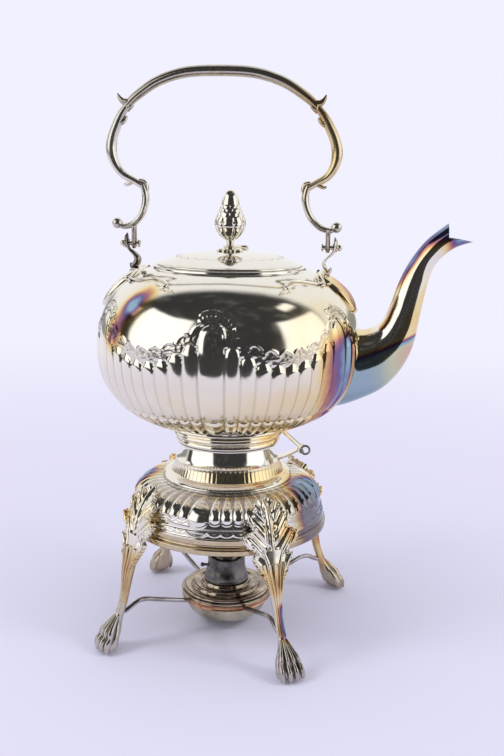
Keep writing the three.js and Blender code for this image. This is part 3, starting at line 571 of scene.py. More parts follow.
def formed(name, shape, finish, tree, sizes, marks=None):
    """A mesh that a node group has worked, as a plain mesh. marks says which of its points are outside."""
    made = solid(name, shape, finish, 80)
    if marks is not None:
        made.data.attributes.new("outer", "FLOAT", "POINT").data.foreach_set("value", marks)
    modifier = made.modifiers.new("form", "NODES")
    modifier.node_group = tree
    values = {**sizes, "Finish": finish}
    for item in tree.interface.items_tree:
        if item.in_out == "INPUT" and item.name in values:
            modifier[item.identifier] = values[item.name]
    whole = made.evaluated_get(bpy.context.evaluated_depsgraph_get())
    mesh = bpy.data.meshes.new_from_object(whole)
    made.modifiers.remove(modifier)
    made.data = mesh
    mesh.name = name
    mesh.set_sharp_from_angle(angle=math.radians(70))
    return made


def belly_wall():
    """The outer and the inner line of the kettle's wall from the foot to the mouth, in radius and height,
    close together where the chasing is. Says also how many of its points are on the outer side."""
    heights = belly_middle - belly_half_height * np.cos(np.linspace(0, math.pi, 3000))
    heights = heights[(heights > 158.9 * mm) & (heights < 270.4 * mm)]
    line = np.array([(belly_at(h), h) for h in heights])
    length = np.concatenate([[0], np.cumsum(np.linalg.norm(np.diff(line, axis=0), axis=1))])
    chased_low, chased_high, foot_lobes_high = 211 * mm, 256 * mm, 180 * mm
    outer = []
    at = 0.0
    while at < length[-1]:
        height = np.interp(at, length, line[:, 1])
        outer.append((np.interp(at, length, line[:, 0]), height))
        if chased_low < height < chased_high:
            at += 0.74 * mm
        elif height < foot_lobes_high:
            at += 1.5 * mm
        else:
            at += 2.4 * mm
    lip = blended([
        (56.8, 270.9), (55.6, 270.7), (55.6, 270.7), (54.9, 271.6), (54.6, 272.8), (53.6, 273.1),
        (52.8, 272.2), (52.8, 272.2), (47, 271.7), (47, 271.7), (46.8, 270.5),
    ], 3) * mm
    inner = [(belly_at(h * mm) - 2 * mm, h * mm) for h in (266, 260, 250, 236, 217, 198, 182, 170, 164)]
    return [*outer, *lip, *inner, (44 * mm, 160.4 * mm)], len(outer)


wall_line, outer_count = belly_wall()
around_body = 640
flute_sizes = {
    "Wide lobes": 6.0, "Narrow lobes": 8.0, "Wide angle": 10.8, "Start": -90.0, "Top": 243 * mm,
    "Swag drop": 26 * mm, "Relief": 2 * mm, "Pinch": 177 * mm, "Foot": 160.5 * mm, "Border": 5.2 * mm,
    "Arch": 15 * mm, "Chasing": 1.0,
}
flute_tree = fluting("kettle_fluting", flute_sizes)
wall_marks = np.zeros((len(wall_line), around_body))
wall_marks[1:outer_count - 2] = 1.0
kettle_body = formed("kettle_body_fluted", lathe(wall_line, around_body), body_plate, flute_tree,
                     flute_sizes, wall_marks.ravel())
fit(kettle_body, "kettle", "silver_plate", "kettle_body")


# Kettle foot and mouth.
# A cast ring of mouldings soldered under the bowl, which sits over the stand's neck, and the collar
# inside the mouth that the lid drops into.
foot_plate = plate("foot_silver", lambda place, net: spot(place, (42, -20, 152), 30, net) * 0.3, base=0.14)
foot_line = blended([
    (36.9, 145), (36.9, 145), (38.1, 145), (38.9, 145.9), (38.6, 147.6), (37.9, 148.6), (37.9, 148.6),
    (39.4, 149.4), (40.4, 150.9), (39.7, 152.4), (39.7, 152.4), (40.6, 153.4), (43.4, 155.4), (46.4, 156.6),
    (47.4, 157.6), (47.2, 158.6), (47.2, 158.6), (46, 158.6), (42.4, 157.2), (38, 152), (36.9, 145.4),
], 4)
fit(turned("kettle_foot_ring", foot_line, 128, foot_plate), "kettle", "silver_plate", "kettle_foot")
collar_line = blended([
    (45, 262.5), (45, 262.5), (46.4, 262.5), (46.4, 262.5), (46.4, 272.3), (46.4, 272.3), (50.4, 272.5),
    (50.6, 272.6), (50.2, 272.75), (45.4, 272.7), (45, 272.3),
], 3)
fit(turned("mouth_collar_ring", collar_line, 128, foot_plate), "kettle", "silver_plate", "mouth_collar")


# Spout.
# A swan-neck tube raised from sheet in two halves, soldered over the strainer holes, and cut to a
# fish-tail at the beak. Heat has coloured its belly, its two edges and its tip.
def spout_film(place, net):
    x, y, z = place.xyz()
    ripple = (net.noise(place, 48.0, 3.0) - 0.5) * 0.3
    inner_edge = (z - (x * 1.75 + 46 * mm)).step(-3 * mm, 8 * mm) * (z.step(0.225, 0.285) * 0.4 + 0.24)
    tip = (z - x * 0.3).step(0.238, 0.256) * (0.64 - inner_edge)
    belly = (z - x * 0.35).step(0.1866, 0.1736) * (x.step(0.098, 0.14) * 0.5 + 0.8)
    lower_edge = (x * 1.75 + 0.046 - z).step(0.016, 0.034) * z.step(0.2, 0.225)
    lower_edge = lower_edge * (z.step(0.25, 0.28) * 0.2 + 0.26)
    return belly.at_least(inner_edge + lower_edge) + tip + ripple * (1.0 - belly).at_least(0.15)


spout_plate = plate("spout_silver", spout_film, base=0.1, rough=0.07)
spout_stations = [
    (80, 231.5, 74, 172, 20), (88, 229.8, 84, 173.8, 19.7), (97.5, 229.4, 98, 179.4, 19),
    (106, 232.6, 112.5, 187.5, 17), (111.2, 239, 124.5, 201, 14.8), (115.2, 248.5, 132.4, 218, 12.4),
    (118.2, 257.6, 136.4, 240, 10.6), (121.2, 266.2, 139.8, 259.4, 9.4), (125.2, 275, 143.4, 273, 8.7),
    (131, 284.6, 149.2, 281.8, 8.6), (139.6, 295.2, 159.4, 289.6, 8.8), (155, 307.6, 176, 294.8, 9.4),
]
spout_wall = 1.3
spout_lines = blended(spout_stations, 24)
cut_x, cut_z, cut_slope = 152.6, 295.8, 0.137


def spout_point(along, angle, inset):
    """A point of the spout, in millimetres: its share of the length, its place round the tube, its depth."""
    at = along * (len(spout_lines) - 1)
    k = min(int(at), len(spout_lines) - 2)
    top_x, top_z, low_x, low_z, width = spout_lines[k] + (spout_lines[k + 1] - spout_lines[k]) * (at - k)
    half = np.array([top_x - low_x, top_z - low_z]) / 2
    size = np.linalg.norm(half)
    half *= (size - inset) / size
    lift = math.cos(angle)
    middle = np.array([top_x + low_x, top_z + low_z]) / 2
    x, z = middle + half * lift
    return np.array([x, (width - inset) * math.sin(angle), z])


def first_share(low, high, holds):
    """The share between low and high at which something that holds at low stops holding."""
    for _ in range(24):
        middle = (low + high) / 2
        low, high = (middle, high) if holds(middle) else (low, middle)
    return low


def spout_skin():
    """The tube from the kettle's wall to the cut of the beak, with a small flare where it is soldered on."""
    around = 72
    rows = 96
    outer = np.zeros((rows, around, 3))
    inner = np.zeros((rows, around, 3))
    for q in range(around):
        angle = 2 * math.pi * q / around
        for grid, inset in ((outer, 0.0), (inner, spout_wall)):
            def within(t):
                x, y, z = spout_point(t, angle, inset)
                return math.hypot(x, y) < belly_at(z * mm) / mm - 0.4

            def below_cut(t):
                x, y, z = spout_point(t, angle, inset)
                return x < cut_x or z < cut_z - cut_slope * (x - cut_x)

            root = first_share(0.0, 0.4, within)
            beak = first_share(0.75, 1.0, below_cut)
            for i in range(rows):
                grid[i, q] = spout_point(root + (beak - root) * i / (rows - 1), angle, inset)
            if grid is outer:
                flare = np.exp(-np.arange(rows) / 1.6)[:, None] * 0.9
                grid[:, q] += flare * np.array([0.2, math.sin(angle), math.cos(angle)])
    return skin(np.concatenate([outer, inner[::-1]]) * mm, looped=True)


spout = solid("spout_swan_neck", spout_skin(), spout_plate, 50)
fit(spout, "kettle", "silver_plate", "spout")


# Escutcheons.
# On each shoulder a cast cartouche with a rolled rim and a fan of lobes carries the handle, and a
# scroll arm runs from it along the shoulder to each side.
trim_plate = plate("cast_silver", lambda place, net: spot(place, (84, 0, 254), 40, net) * 0.4, base=0.12,
                   wander=0.14, rough=0.12)


def bar(points, around=16, side=(0, 1, 0), per=6, ridge=1.0):
    """A bar through points of x, y, z, half width and half thickness, in millimetres. side is the direction
    of its width, and a ridge under 1 gives it sharper flanks."""
    data = blended(points, per) * mm
    line, sizes = data[:, :3], data[:, 3:]
    along = np.gradient(line, axis=0)
    along /= np.linalg.norm(along, axis=1)[:, None]
    sides = np.broadcast_to(np.asarray(side, float), along.shape)
    across = sides - along * np.einsum("ij,ij->i", along, sides)[:, None]
    across /= np.linalg.norm(across, axis=1)[:, None]
    lift = np.cross(along, across)
    turn = np.linspace(0, 2 * math.pi, around, endpoint=False)
    wide = np.sign(np.cos(turn)) * np.abs(np.cos(turn)) ** ridge
    thick = np.sin(turn)
    rings = (line[:, None] + across[:, None] * sizes[:, :1, None] * wide[None, :, None]
             + lift[:, None] * sizes[:, 1:, None] * thick[None, :, None])
    return skin(rings)


def pad(top, bottom):
    """A closed skin between a top and a bottom grid of points."""
    return skin(np.concatenate([top, bottom[:, ::-1]], 1))


def on_side(shape, side):
    """A shape of the right side as it is, or turned half round the upright axis for the left side."""
    points, faces = shape
    return np.asarray(points) * np.array([side, side, 1]), faces


def cartouche():
    """The shield: a crowned plate over the shoulder with a rolled rim and a fan of lobes."""
    rows, columns = 48, 33
    crown_high, crown_low = 268.6, 241.5
    top = np.zeros((rows, columns, 3))
    bottom = np.zeros((rows, columns, 3))
    for i in range(rows):
        t = i / (rows - 1)
        height = crown_high + (crown_low - crown_high) * t
        swell = math.sin(math.pi * min(1.0, 0.22 + 0.74 * t)) ** 0.6
        half = (8.6 + 9.2 * swell) * (1 - max(0.0, (t - 0.9) / 0.1) ** 2 * 0.5) * min(1, 0.55 + t * 4)
        for j in range(columns):
            s = 2 * j / (columns - 1) - 1
            angle = math.degrees(s * half / (belly_at(height * mm) / mm))
            fan = math.atan2(s * half, 8 + 22 * t) * 6.2
            edge = max(abs(s), abs(2 * t - 1) ** 1.5)
            lobes = abs(math.cos(fan)) ** 0.6 * math.sin(math.pi * min(1, t * 1.05)) ** 0.5
            rim = math.exp(-((edge - 0.9) / 0.075) ** 2)
            crown = 1.9 * (1 - s * s) * math.sin(math.pi * t) ** 0.5
            lift = 1.0 + crown + 1.1 * lobes * (edge < 0.86) + 1.3 * rim
            lift *= 1 - max(0.0, (edge - 0.93) / 0.07) ** 2 * 0.7
            top[i, j] = on_belly(angle, height * mm, lift * mm)
            bottom[i, j] = on_belly(angle, height * mm, 0.1 * mm)
    return pad(top, bottom)


def scroll_arm(end, reach):
    """A leafy C-scroll along the shoulder, with a curled tip and a small tail past it."""
    def on(angle, height, width, thick):
        place = on_belly(end * angle * reach / 56, height * mm, mm)
        return (*(np.array(place) / mm), width, thick)

    slant = math.radians(30 * end)
    side = (math.cos(slant) * 0.6, math.sin(slant) * 0.6, 1)
    main = [on(5, 265.2, 3.4, 1.4), on(10, 267.2, 2.8, 1.5), on(15, 266, 2, 1.2), on(19, 264.2, 1.2, 1),
            on(26, 264, 0.8, 0.8), on(33, 265.4, 0.8, 0.8), on(41, 266.8, 0.9, 0.9), on(48, 266, 1.2, 1),
            on(52.4, 264.2, 1.5, 1.1), on(52.4, 262.2, 1.3, 1), on(50, 261.8, 0.8, 0.7)]
    tail = [on(45, 264.4, 0.4, 0.6), on(50.4, 262.8, 0.9, 0.8), on(54, 261.4, 1, 0.8),
            on(57.5, 261, 0.5, 0.6)]
    leaves = [
        [on(8, 263.6, 1.4, 1.2), on(13, 262.4, 1.3, 1), on(17, 262.8, 0.4, 0.5)],
        [on(13, 268, 1.2, 1.1), on(18, 267, 0.9, 0.9), on(21, 265.4, 0.4, 0.5)],
        [on(17, 264.6, 1, 1), on(22, 262.6, 1.1, 0.9), on(25, 262.8, 0.3, 0.4)],
    ]
    return joined(*[bar(points, 10, side, 5) for points in (main, tail, *leaves)])


def escutcheon(side):
    """A shield with its two arms. Those of the left one reach further round."""
    reach = 66 if side < 0 else 56
    return on_side(joined(cartouche(), scroll_arm(-1, reach), scroll_arm(1, reach)), side)


# Ears and handle pins.
# A strap rises in an S from each cartouche, flattened where the pin goes through it. The pin is riveted
# inside and ends in a small ball outside, and the handle swings on it.
def turned_along(profile, place, axis, around=32):
    """A turned piece laid along an axis. Its profile is in millimetres from the place."""
    points, faces = lathe(np.array(profile) * mm, around)
    turn = Vector(axis).to_track_quat("Z", "X").to_matrix()
    return np.asarray(points) @ np.array(turn).T + np.array(place) * mm, faces


def ear(side):
    """A strap with a leaf at its root and a boss for the pin. The left one is the plumper."""
    plump = 1.2 if side < 0 else 0.62
    strap = bar([(70, 0, 270.4, 5.2, 2.2 * plump), (67.6, 0, 273.4, 4.4, 2.2 * plump),
                 (67.2, 0, 276.4, 3.8, 2.1 * plump), (69.4, 0, 279.6, 3.2, 1.5 * plump),
                 (72.8, 0, 282.6, 3.2, 1.1), (74.5, 0, 286, 3.9, 1.3),
                 (75, 0, 289.4, 4, 1.5), (75, 0, 292, 3.2, 1.3), (74.4, 0, 294.4, 0.8, 0.4)], 20)
    leaf = bar([(69.6, 0, 268.4, 3, 1.6), (71.4, 0, 270.4, 2.6, 1.5), (72.2, 0, 273, 1, 0.7)], 12)
    boss = turned_along([(0, -1.5), (3.1, -1.5), (3.4, 0), (3.1, 1.5), (0, 1.5)], (74.7, 0, 287), (1, 0, 0))
    return on_side(joined(strap, leaf, boss), side)


def handle_pin(side):
    line = blended([(0, -12.6), (2.2, -12.4), (2.8, -11.9), (2.8, -11), (2.8, -11), (1.6, -11), (1.6, -11),
                    (1.6, -1.6), (1.9, -1.2), (2.5, 0), (2.2, 1.4), (1.2, 2.3), (0, 2.5)], 4)
    return on_side(turned_along(line, (77.4, 0, 287), (1, 0, 0)), side)


def ear_grey_and_painted_dark(place, net):
    """Grey over both ears, and on the left ear painted darkness that stands in for the dark reflections in
    its polish.
    """
    return place.xyz()[0].step(0.05, -0.05) * 0.6 + 0.25


ear_plate = plate("ear_silver", None, base=0.14, wander=0.12, rough=0.12, grey_and_shade=ear_grey_and_painted_dark)
for name, side in (("left", -1), ("right", 1)):
    fit(solid(f"escutcheon_{name}_cast", escutcheon(side), trim_plate, 60), "kettle", "silver_plate",
        f"escutcheon_{name}")
    fit(solid(f"ear_{name}_strap", ear(side), ear_plate), "kettle", "silver_plate", f"ear_{name}")
    fit(solid(f"handle_pin_{name}_turned", handle_pin(side), trim_plate), "kettle", "silver_plate",
        f"handle_pin_{name}")


# Bail handle.
# Cast in three lengths that are soldered end to end: a grip with a ridge along each flank, and on each
# side a double scroll with curled leaves, which ends in a knob over its pivot tab.
def handle_film(place, net):
    x, y, z = place.xyz()
    ripple = (net.noise(place, 60.0, 3.0) - 0.5) * 0.16
    crown = z.step(0.37, 0.404) * 0.08
    right = spot(place, (60, 0, 378), 46, net) * 0.26 + spot(place, (66, 0, 340), 40, net) * 0.22
    return crown + right + ripple


def handle_stain(place, net):
    x, y, z = place.xyz()
    return z.step(0.352, 0.39) * 0.36 + z.step(0.302, 0.296) * 0.6 + 0.16


handle_plate = plate("handle_silver", handle_film, base=0.1, wander=0.06, rough=0.2, grey_and_shade=handle_stain)
handle_top = 410


def leaned(x, z):
    """The handle leans a little to the left, more towards its top."""
    lean_from = 297
    share = min(max((z - lean_from) / (handle_top - lean_from), 0), 1)
    return x - (3 + 5.5 * share)


def handle_bar(points, side=1, around=20, ridge=1.0):
    """A bar of the handle through points of x, z, half width and half thickness."""
    placed = [(leaned(side * x, z), 0, z, wide, thick) for x, z, wide, thick in points]
    return bar(placed, around, per=7, ridge=ridge)


half_grip = [(67.6, 381.6, 2.9, 2.5), (65.4, 383.6, 3.1, 2.9), (58.5, 389.6, 3.5, 3.3),
             (43.5, 399, 3.8, 3.6), (24, 404.9, 4, 3.8)]
grip_points = [*half_grip, (0, handle_top - 3.85, 4, 3.85),
               *[(-x, z, wide, thick) for x, z, wide, thick in half_grip[::-1]]]
grip_leaves = [joined(
    handle_bar([(61, 386.4, 2.6, 1.8), (65, 384.8, 3, 2.6), (68.6, 385, 2.6, 2.4), (71.2, 387.4, 1.7, 1.6),
                (72.8, 390.6, 0.5, 0.5)], side, 16),
    handle_bar([(62.6, 383.4, 2.6, 1.8), (65, 381.2, 2.6, 2.2), (66.6, 378.4, 1.4, 1.2)], side, 14),
    handle_bar([(66.2, 380, 3.3, 1), (67, 383.9, 3.3, 1)], side, 20),
) for side in (-1, 1)]
grip = solid("handle_grip_cast", joined(handle_bar(grip_points, 1, 28, 1.35), *grip_leaves), handle_plate, 34)
fit(grip, "bail_handle", "silver_plate", "handle_grip")


def handle_scroll(side):
    """Two C-scrolls back to back with their leaves, the knob and the tab that turns on the pin."""
    upper = handle_bar([
        (67, 382, 2.8, 2.5), (71.2, 376, 3.3, 3.1), (75, 368.6, 3.7, 3.6), (78.4, 360, 3.9, 3.8),
        (79.6, 351.5, 3.9, 3.8), (77.4, 342.6, 3.6, 3.4), (72.4, 335.6, 3.3, 2.9), (65, 331.4, 3, 2.5),
        (59.4, 328.2, 3, 2.5), (57, 326.4, 2.6, 1.6),
    ], side, 26, 1.3)
    lower = handle_bar([
        (61.6, 330.4, 2, 1.2), (58.8, 328.4, 3, 2.4), (56.9, 321.6, 3.3, 2.6), (57.7, 314, 3.3, 2.6),
        (61.2, 306.4, 3.2, 2.5), (67, 300.9, 3, 2.4), (73.4, 299, 2.8, 2.1), (77.6, 300.2, 2.6, 1.8),
    ], side, 26, 1.3)
    leaves = [
        [(74.4, 369.8, 2.2, 1.8), (71.4, 371, 2.6, 2.3), (68.6, 373, 2, 1.7), (67, 375.4, 0.6, 0.5)],
        [(63, 331.2, 2.2, 1.6), (66.8, 329.8, 2.2, 1.7), (69.8, 328.4, 1.7, 1.4), (71.8, 328.8, 1, 0.9)],
        [(60.6, 331.6, 2, 1.3), (56.8, 330.6, 2.4, 1.4), (55.2, 327, 2.6, 1.2), (55.4, 322, 2, 0.6)],
        [(70, 378.6, 2.8, 1), (74.4, 372.2, 2.4, 0.9), (77, 366.4, 1, 0.5)],
    ]
    knob_line = blended([(0, -3.9), (1.8, -3.5), (3.4, -2), (3.9, 0), (3.4, 2), (1.8, 3.5), (0, 3.9)], 5)
    knob = turned_along(knob_line, (leaned(side * 78.4, 301), 0, 301.2), (0, 1, 0), 40)
    tab_x = side * 69.5
    tab = bar([(tab_x, 0, 299.6, 4, 2), (tab_x, 0, 296, 3.6, 1.7), (tab_x, 0, 291, 4.2, 1.7),
               (tab_x, 0, 287.8, 4.6, 1.8), (tab_x, 0, 285.4, 4, 1.8), (tab_x, 0, 283.4, 2, 1.2)], 18)
    return joined(upper, lower, *[handle_bar(points, side, 14) for points in leaves], knob, tab)


for name, side in (("left", -1), ("right", 1)):
    fit(solid(f"handle_scroll_{name}_cast", handle_scroll(side), handle_plate, 34), "bail_handle",
        "silver_plate", f"handle_scroll_{name}")


# Lid.
# A low dome spun from sheet with a rolled rim and a flange below. A border of punched dots is chased
# round the top, and a leaf on the far side hinges it to the kettle.
lid_radius = 52.2
lid_rim_top = 274.5
lid_rise = 8.5


def lid_at(radius):
    return lid_rim_top + lid_rise * (1 - (radius / (lid_radius - 1.2)) ** 2.8)


lid_plate = plate("lid_silver", lambda place, net: spot(place, (30, 30, 280), 40, net) * 0.12, base=0.05,
                  wander=0.06, rough=0.08)
lid_top = [(r, lid_at(r)) for r in np.linspace(3.2, 49.2, 32)]
lid_rim = blended([
    (49.8, lid_at(49.8) - 0.25), (50.2, 274.9), (51.1, 274.85), (51.9, 274.4), (52.2, 273.7), (52, 273.1),
    (51.4, 272.9), (51.4, 272.9), (47, 272.9), (47, 272.9), (44, 275.4),
], 3).tolist()
lid_under = [(r, lid_at(r) - 1.2) for r in np.linspace(38, 3.2, 12)]
lid_shape = lathe(np.array([*lid_top, *lid_rim, *lid_under]) * mm, 192)


def strewn_shell(net, value, count, place, copies):
    """Ends a node group that repeats one small piece: a copy at each place, in one mesh with the shell."""
    points = net.add("GeometryNodeMeshLine", {"mode": "OFFSET"}, {"Count": count})
    points = net.add("GeometryNodeSetPosition", None, {"Geometry": points, "Position": place})
    row = net.add("GeometryNodeInstanceOnPoints", None, {"Points": points, **copies})
    row = net.add("GeometryNodeRealizeInstances", None, {0: row})
    row = net.add("GeometryNodeSetShadeSmooth", None, {0: row})
    both = net.tree.nodes.new("GeometryNodeJoinGeometry")
    net.tree.links.new(row.socket, both.inputs[0])
    net.tree.links.new(value["Shell"].socket, both.inputs[0])
    return finished(net, value, Wire(net, both.outputs[0]))


def bead_ring(name, sizes):
    """A node group that sets a row of small beads round an upright circle. The row can run in and out in
    scallops, and the beads can be pressed flat."""
    net, value = node_group(name, sizes, counts=("Beads",))
    turn = net.add("GeometryNodeInputIndex") * (2 * math.pi) / value["Beads"]
    wave = (turn * value["Scallops"] * 0.5).math("SINE").math("ABSOLUTE")
    radius = value["Radius"] + wave * value["Depth"]
    place = net.add("ShaderNodeCombineXYZ", None, {
        0: radius * turn.math("COSINE"), 1: radius * turn.math("SINE"),
        2: value["Height"] + wave * value["Depth"] * value["Slope"],
    })
    bead = net.add("GeometryNodeMeshUVSphere", None, {"Segments": 10, "Rings": 6, "Radius": value["Size"]})
    flat = net.add("ShaderNodeCombineXYZ", None, {0: 1.0, 1: 1.0, 2: value["Press"]})
    return strewn_shell(net, value, value["Beads"], place, {"Instance": bead, "Scale": flat})


border_radius = 35.4
border_depth = 3
border_slope = (lid_at(border_radius + border_depth) - lid_at(border_radius)) / border_depth
bead_sizes = {"Beads": 130, "Radius": border_radius * mm, "Height": lid_at(border_radius) * mm,
              "Size": 0.4 * mm, "Press": 0.6, "Scallops": 26.0, "Depth": border_depth * mm,
              "Slope": border_slope}
bead_tree = bead_ring("row_of_beads", bead_sizes)
fit(formed("lid_dome", lid_shape, lid_plate, bead_tree, bead_sizes), "lid_assembly", "silver_plate", "lid")
flange_line = blended([
    (43.2, 264.5), (43.2, 264.5), (44.2, 264.3), (44.4, 264.8), (44.4, 273.9), (44.4, 273.9), (43.2, 274.4),
    (43.2, 274.4), (43.2, 265),
], 3)
fit(turned("lid_flange_band", flange_line, 128, lid_plate), "lid_assembly", "silver_plate", "lid_flange")


# Finial.
# A cast bud on a turned stem that is screwed through the lid: eight sepals below, rows of overlapping
# scales above, and a rosette of petals on the dome.
finial_plate = plate("finial_silver", None, base=0.1, wander=0.08, rough=0.1)
stem_line = blended([
    (0, 277.5), (2.9, 277.5), (2.9, 277.5), (2.9, 283.3), (2.9, 283.3), (6.8, 283.3), (6.8, 283.3),
    (6.4, 284.4), (4.4, 284.9), (4, 285.4), (5.2, 285.9), (5.3, 286.5), (4, 287), (2.8, 287.8),
    (2.6, 289.2), (3.1, 290.6), (3.9, 291.2), (3.9, 291.2), (0, 291.2),
], 4) * mm


def leaves_round(count, shift, around, points):
    """Leaves that stand round the stem, each through points of radius, height, half width and half
    thickness. shift turns the whole ring, in leaves."""
    shapes = []
    for k in range(count):
        turn = 2 * math.pi * (k + shift) / count
        out = np.array([math.cos(turn), math.sin(turn)])
        line = [(*(out * r), z, wide, thick) for r, z, wide, thick in points]
        shapes.append(bar(line, around, (-out[1], out[0], 0), 5))
    return joined(*shapes)


petals = leaves_round(8, 0.5, 12, [(r, 283.9 - 0.02 * (r - 4.6) ** 2, wide, thick) for r, wide, thick in (
    (4.6, 1.4, 0.9), (7.1, 2.5, 1.1), (8.6, 2.2, 1), (9.6, 0.7, 0.5),
)])
fit(solid("finial_stem_turned", joined(lathe(stem_line, 48), petals), finial_plate), "lid_assembly",
    "silver_plate", "finial_stem")
nut_line = [(3.7, 278.9), (6, 278.9), (6, 281.1), (5.6, 281.5), (3.7, 281.5)]
fit(turned("finial_nut_hexagon", nut_line, 6, finial_plate, 20), "lid_assembly", "silver_plate", "finial_nut")

bud_line = [(0, 291.3), (3.6, 291.4), (5.6, 292.8), (7.3, 295), (9.6, 298.4), (10.6, 301.4), (10.9, 303.2),
            (10.1, 303.9), (9.5, 306), (8.4, 309), (7.4, 312), (6.6, 314.6), (6.3, 316.8), (5.7, 319.6),
            (4.7, 322.4), (3.2, 324.8), (1.4, 326), (0, 326.2)]
bud_core = lathe(blended(bud_line, 4) * mm, 48)
sepals = leaves_round(8, 0, 14, [(4.2, 291.9, 1.4, 0.7), (6.6, 294.2, 2.4, 1), (8.8, 297.4, 3.3, 1.1),
                                 (10, 300.6, 3.8, 1.1), (10.2, 303, 3.3, 1), (9.9, 304.8, 1.2, 0.6)])


def bud_scales(name, sizes):
    """A node group that lays rows of pointed scales up a bud, each row turned half a scale."""
    net, value = node_group(name, sizes)
    number = net.add("GeometryNodeInputIndex") * 1.0
    row = (number / value["Each row"] + 0.001).math("FLOOR")
    share = row / (value["Rows"] - 1.0)
    turn = (number + row * 0.5) * (2 * math.pi) / value["Each row"]
    height = value["Bottom"] + (value["Top"] - value["Bottom"]) * share ** 0.9
    radius = value["Radius"] * (1.0 - share * 0.34)
    place = net.add("ShaderNodeCombineXYZ", None,
                    {0: radius * turn.math("COSINE"), 1: radius * turn.math("SINE"), 2: height})
    scale = net.add("GeometryNodeMeshUVSphere", None, {"Segments": 12, "Rings": 8, "Radius": 1.0})
    tilt = share * 0.12 + 0.34
    facing = net.add("ShaderNodeCombineXYZ", None, {0: 0.0, 1: -tilt, 2: turn})
    size = value["Size"] * (1.0 - share * 0.4)
    form = net.add("ShaderNodeCombineXYZ", None, {0: size * 0.3, 1: size * 1.02, 2: size * 1.15})
    copies = {"Instance": scale, "Rotation": facing, "Scale": form}
    return strewn_shell(net, value, value["Rows"] * value["Each row"], place, copies)


scale_sizes = {"Rows": 4.0, "Each row": 8.0, "Bottom": 305.6 * mm, "Top": 314.6 * mm, "Radius": 9.5 * mm,
               "Size": 3.7 * mm}
scale_tree = bud_scales("bud_scales", scale_sizes)
bud = formed("finial_bud_cast", joined(bud_core, sepals), finial_plate, scale_tree, scale_sizes)
fit(bud, "lid_assembly", "silver_plate", "finial_bud")


# Lid hinge.
# A tongue on the lid and two lugs on the kettle's shoulder, with their knuckles in turn on a wire pin.
# The tongue ends forward in a small flat shell.
hinge_place = (0, 56.5, 281.4)
knuckle = [(0, -2.1), (2.1, -2.1), (2.3, -1.9), (2.3, 1.9), (2.1, 2.1), (0, 2.1)]
tongue = joined(
    turned_along(knuckle, hinge_place, (1, 0, 0)),
    bar([(0, 56.4, 283, 2, 0.7), (0, 52, 281.6, 2.6, 0.8), (0, 48.4, 280.6, 4.6, 0.8), (0, 45, 281, 8.6, 0.8),
         (0, 41.6, 281.8, 9.6, 0.8), (0, 38.6, 282.8, 5.4, 0.6)], 24, (1, 0, 0)),
    bar([(0, 50.4, 275.2, 2, 1.2), (0, 51.6, 277.4, 2, 1.3), (0, 54.6, 280.6, 2, 1.2)], 14, (1, 0, 0)),
)
fit(solid("lid_hinge_tongue", tongue, finial_plate), "lid_assembly", "silver_plate", "lid_hinge_leaf")
lugs = joined(*[joined(
    turned_along([(1.0, -2.1), (2.1, -2.1), (2.3, -1.9), (2.3, 1.9), (2.1, 2.1), (1.0, 2.1)],
                 (s * 4.4, *hinge_place[1:]), (1, 0, 0)),
    bar([(s * 4.4, 58.2, 281.4, 2.1, 1.2), (s * 4.4, 58.8, 276, 2.3, 1.4), (s * 4.4, 60.6, 272.4, 3, 1.2),
         (s * 4, 64, 269.8, 3, 0.7)], 14, (1, 0, 0)),
) for s in (-1, 1)])
fit(solid("kettle_hinge_lugs", lugs, foot_plate), "kettle", "silver_plate", "body_hinge_leaf")
pin_line = blended([(0, -7.3), (1.2, -7.2), (1.3, -6.8), (0.9, -6.6), (0.9, -6.6), (0.9, 6.6), (0.9, 6.6),
                    (1.3, 6.8), (1.2, 7.2), (0, 7.3)], 3)
fit(solid("lid_hinge_wire", turned_along(pin_line, hinge_place, (1, 0, 0), 20), finial_plate), "kettle",
    "silver_plate", "lid_hinge_pin")


# Tilting hinge.
# A strap from the kettle's foot and one from the stand's neck meet on a pin beside the spout. The pin
# pulls out by its ring to lift the kettle off, and the kettle pours by tipping on it.
tilt_place = (55, 0, 138.8)
strap_knuckle = [(1.4, -1.7), (2.1, -1.7), (2.3, -1.5), (2.3, 1.5), (2.1, 1.7), (1.4, 1.7)]
kettle_strap = joined(
    bar([(39.6, 0, 152.4, 6, 0.9), (42.4, 0, 150.6, 6, 1), (48, 0, 145.8, 6, 1), (52.8, 0, 141.6, 6, 1),
         (54.6, 0, 140.4, 5.6, 0.8)], 20, per=5),
    *[turned_along(strap_knuckle, (tilt_place[0], s * 4.1, tilt_place[2]), (0, 1, 0)) for s in (-1, 1)],
    bar([(41.2, 0, 152.6, 4.4, 0.8), (42.6, 0, 153.4, 2.6, 0.9), (43.8, 0, 154.4, 1, 0.6)], 14),
)
fit(solid("tilt_strap_kettle", kettle_strap, foot_plate), "kettle", "silver_plate", "kettle_strap")
stand_strap = joined(
    bar([(37, 0, 130.6, 6, 1), (42, 0, 132.6, 6, 0.9), (48, 0, 135.6, 6, 0.9), (52.6, 0, 138, 5, 0.9)], 20,
        per=5),
    turned_along(strap_knuckle, tilt_place, (0, 1, 0)),
)
fit(solid("tilt_strap_stand", stand_strap, foot_plate), "stand", "silver_plate", "stand_strap")


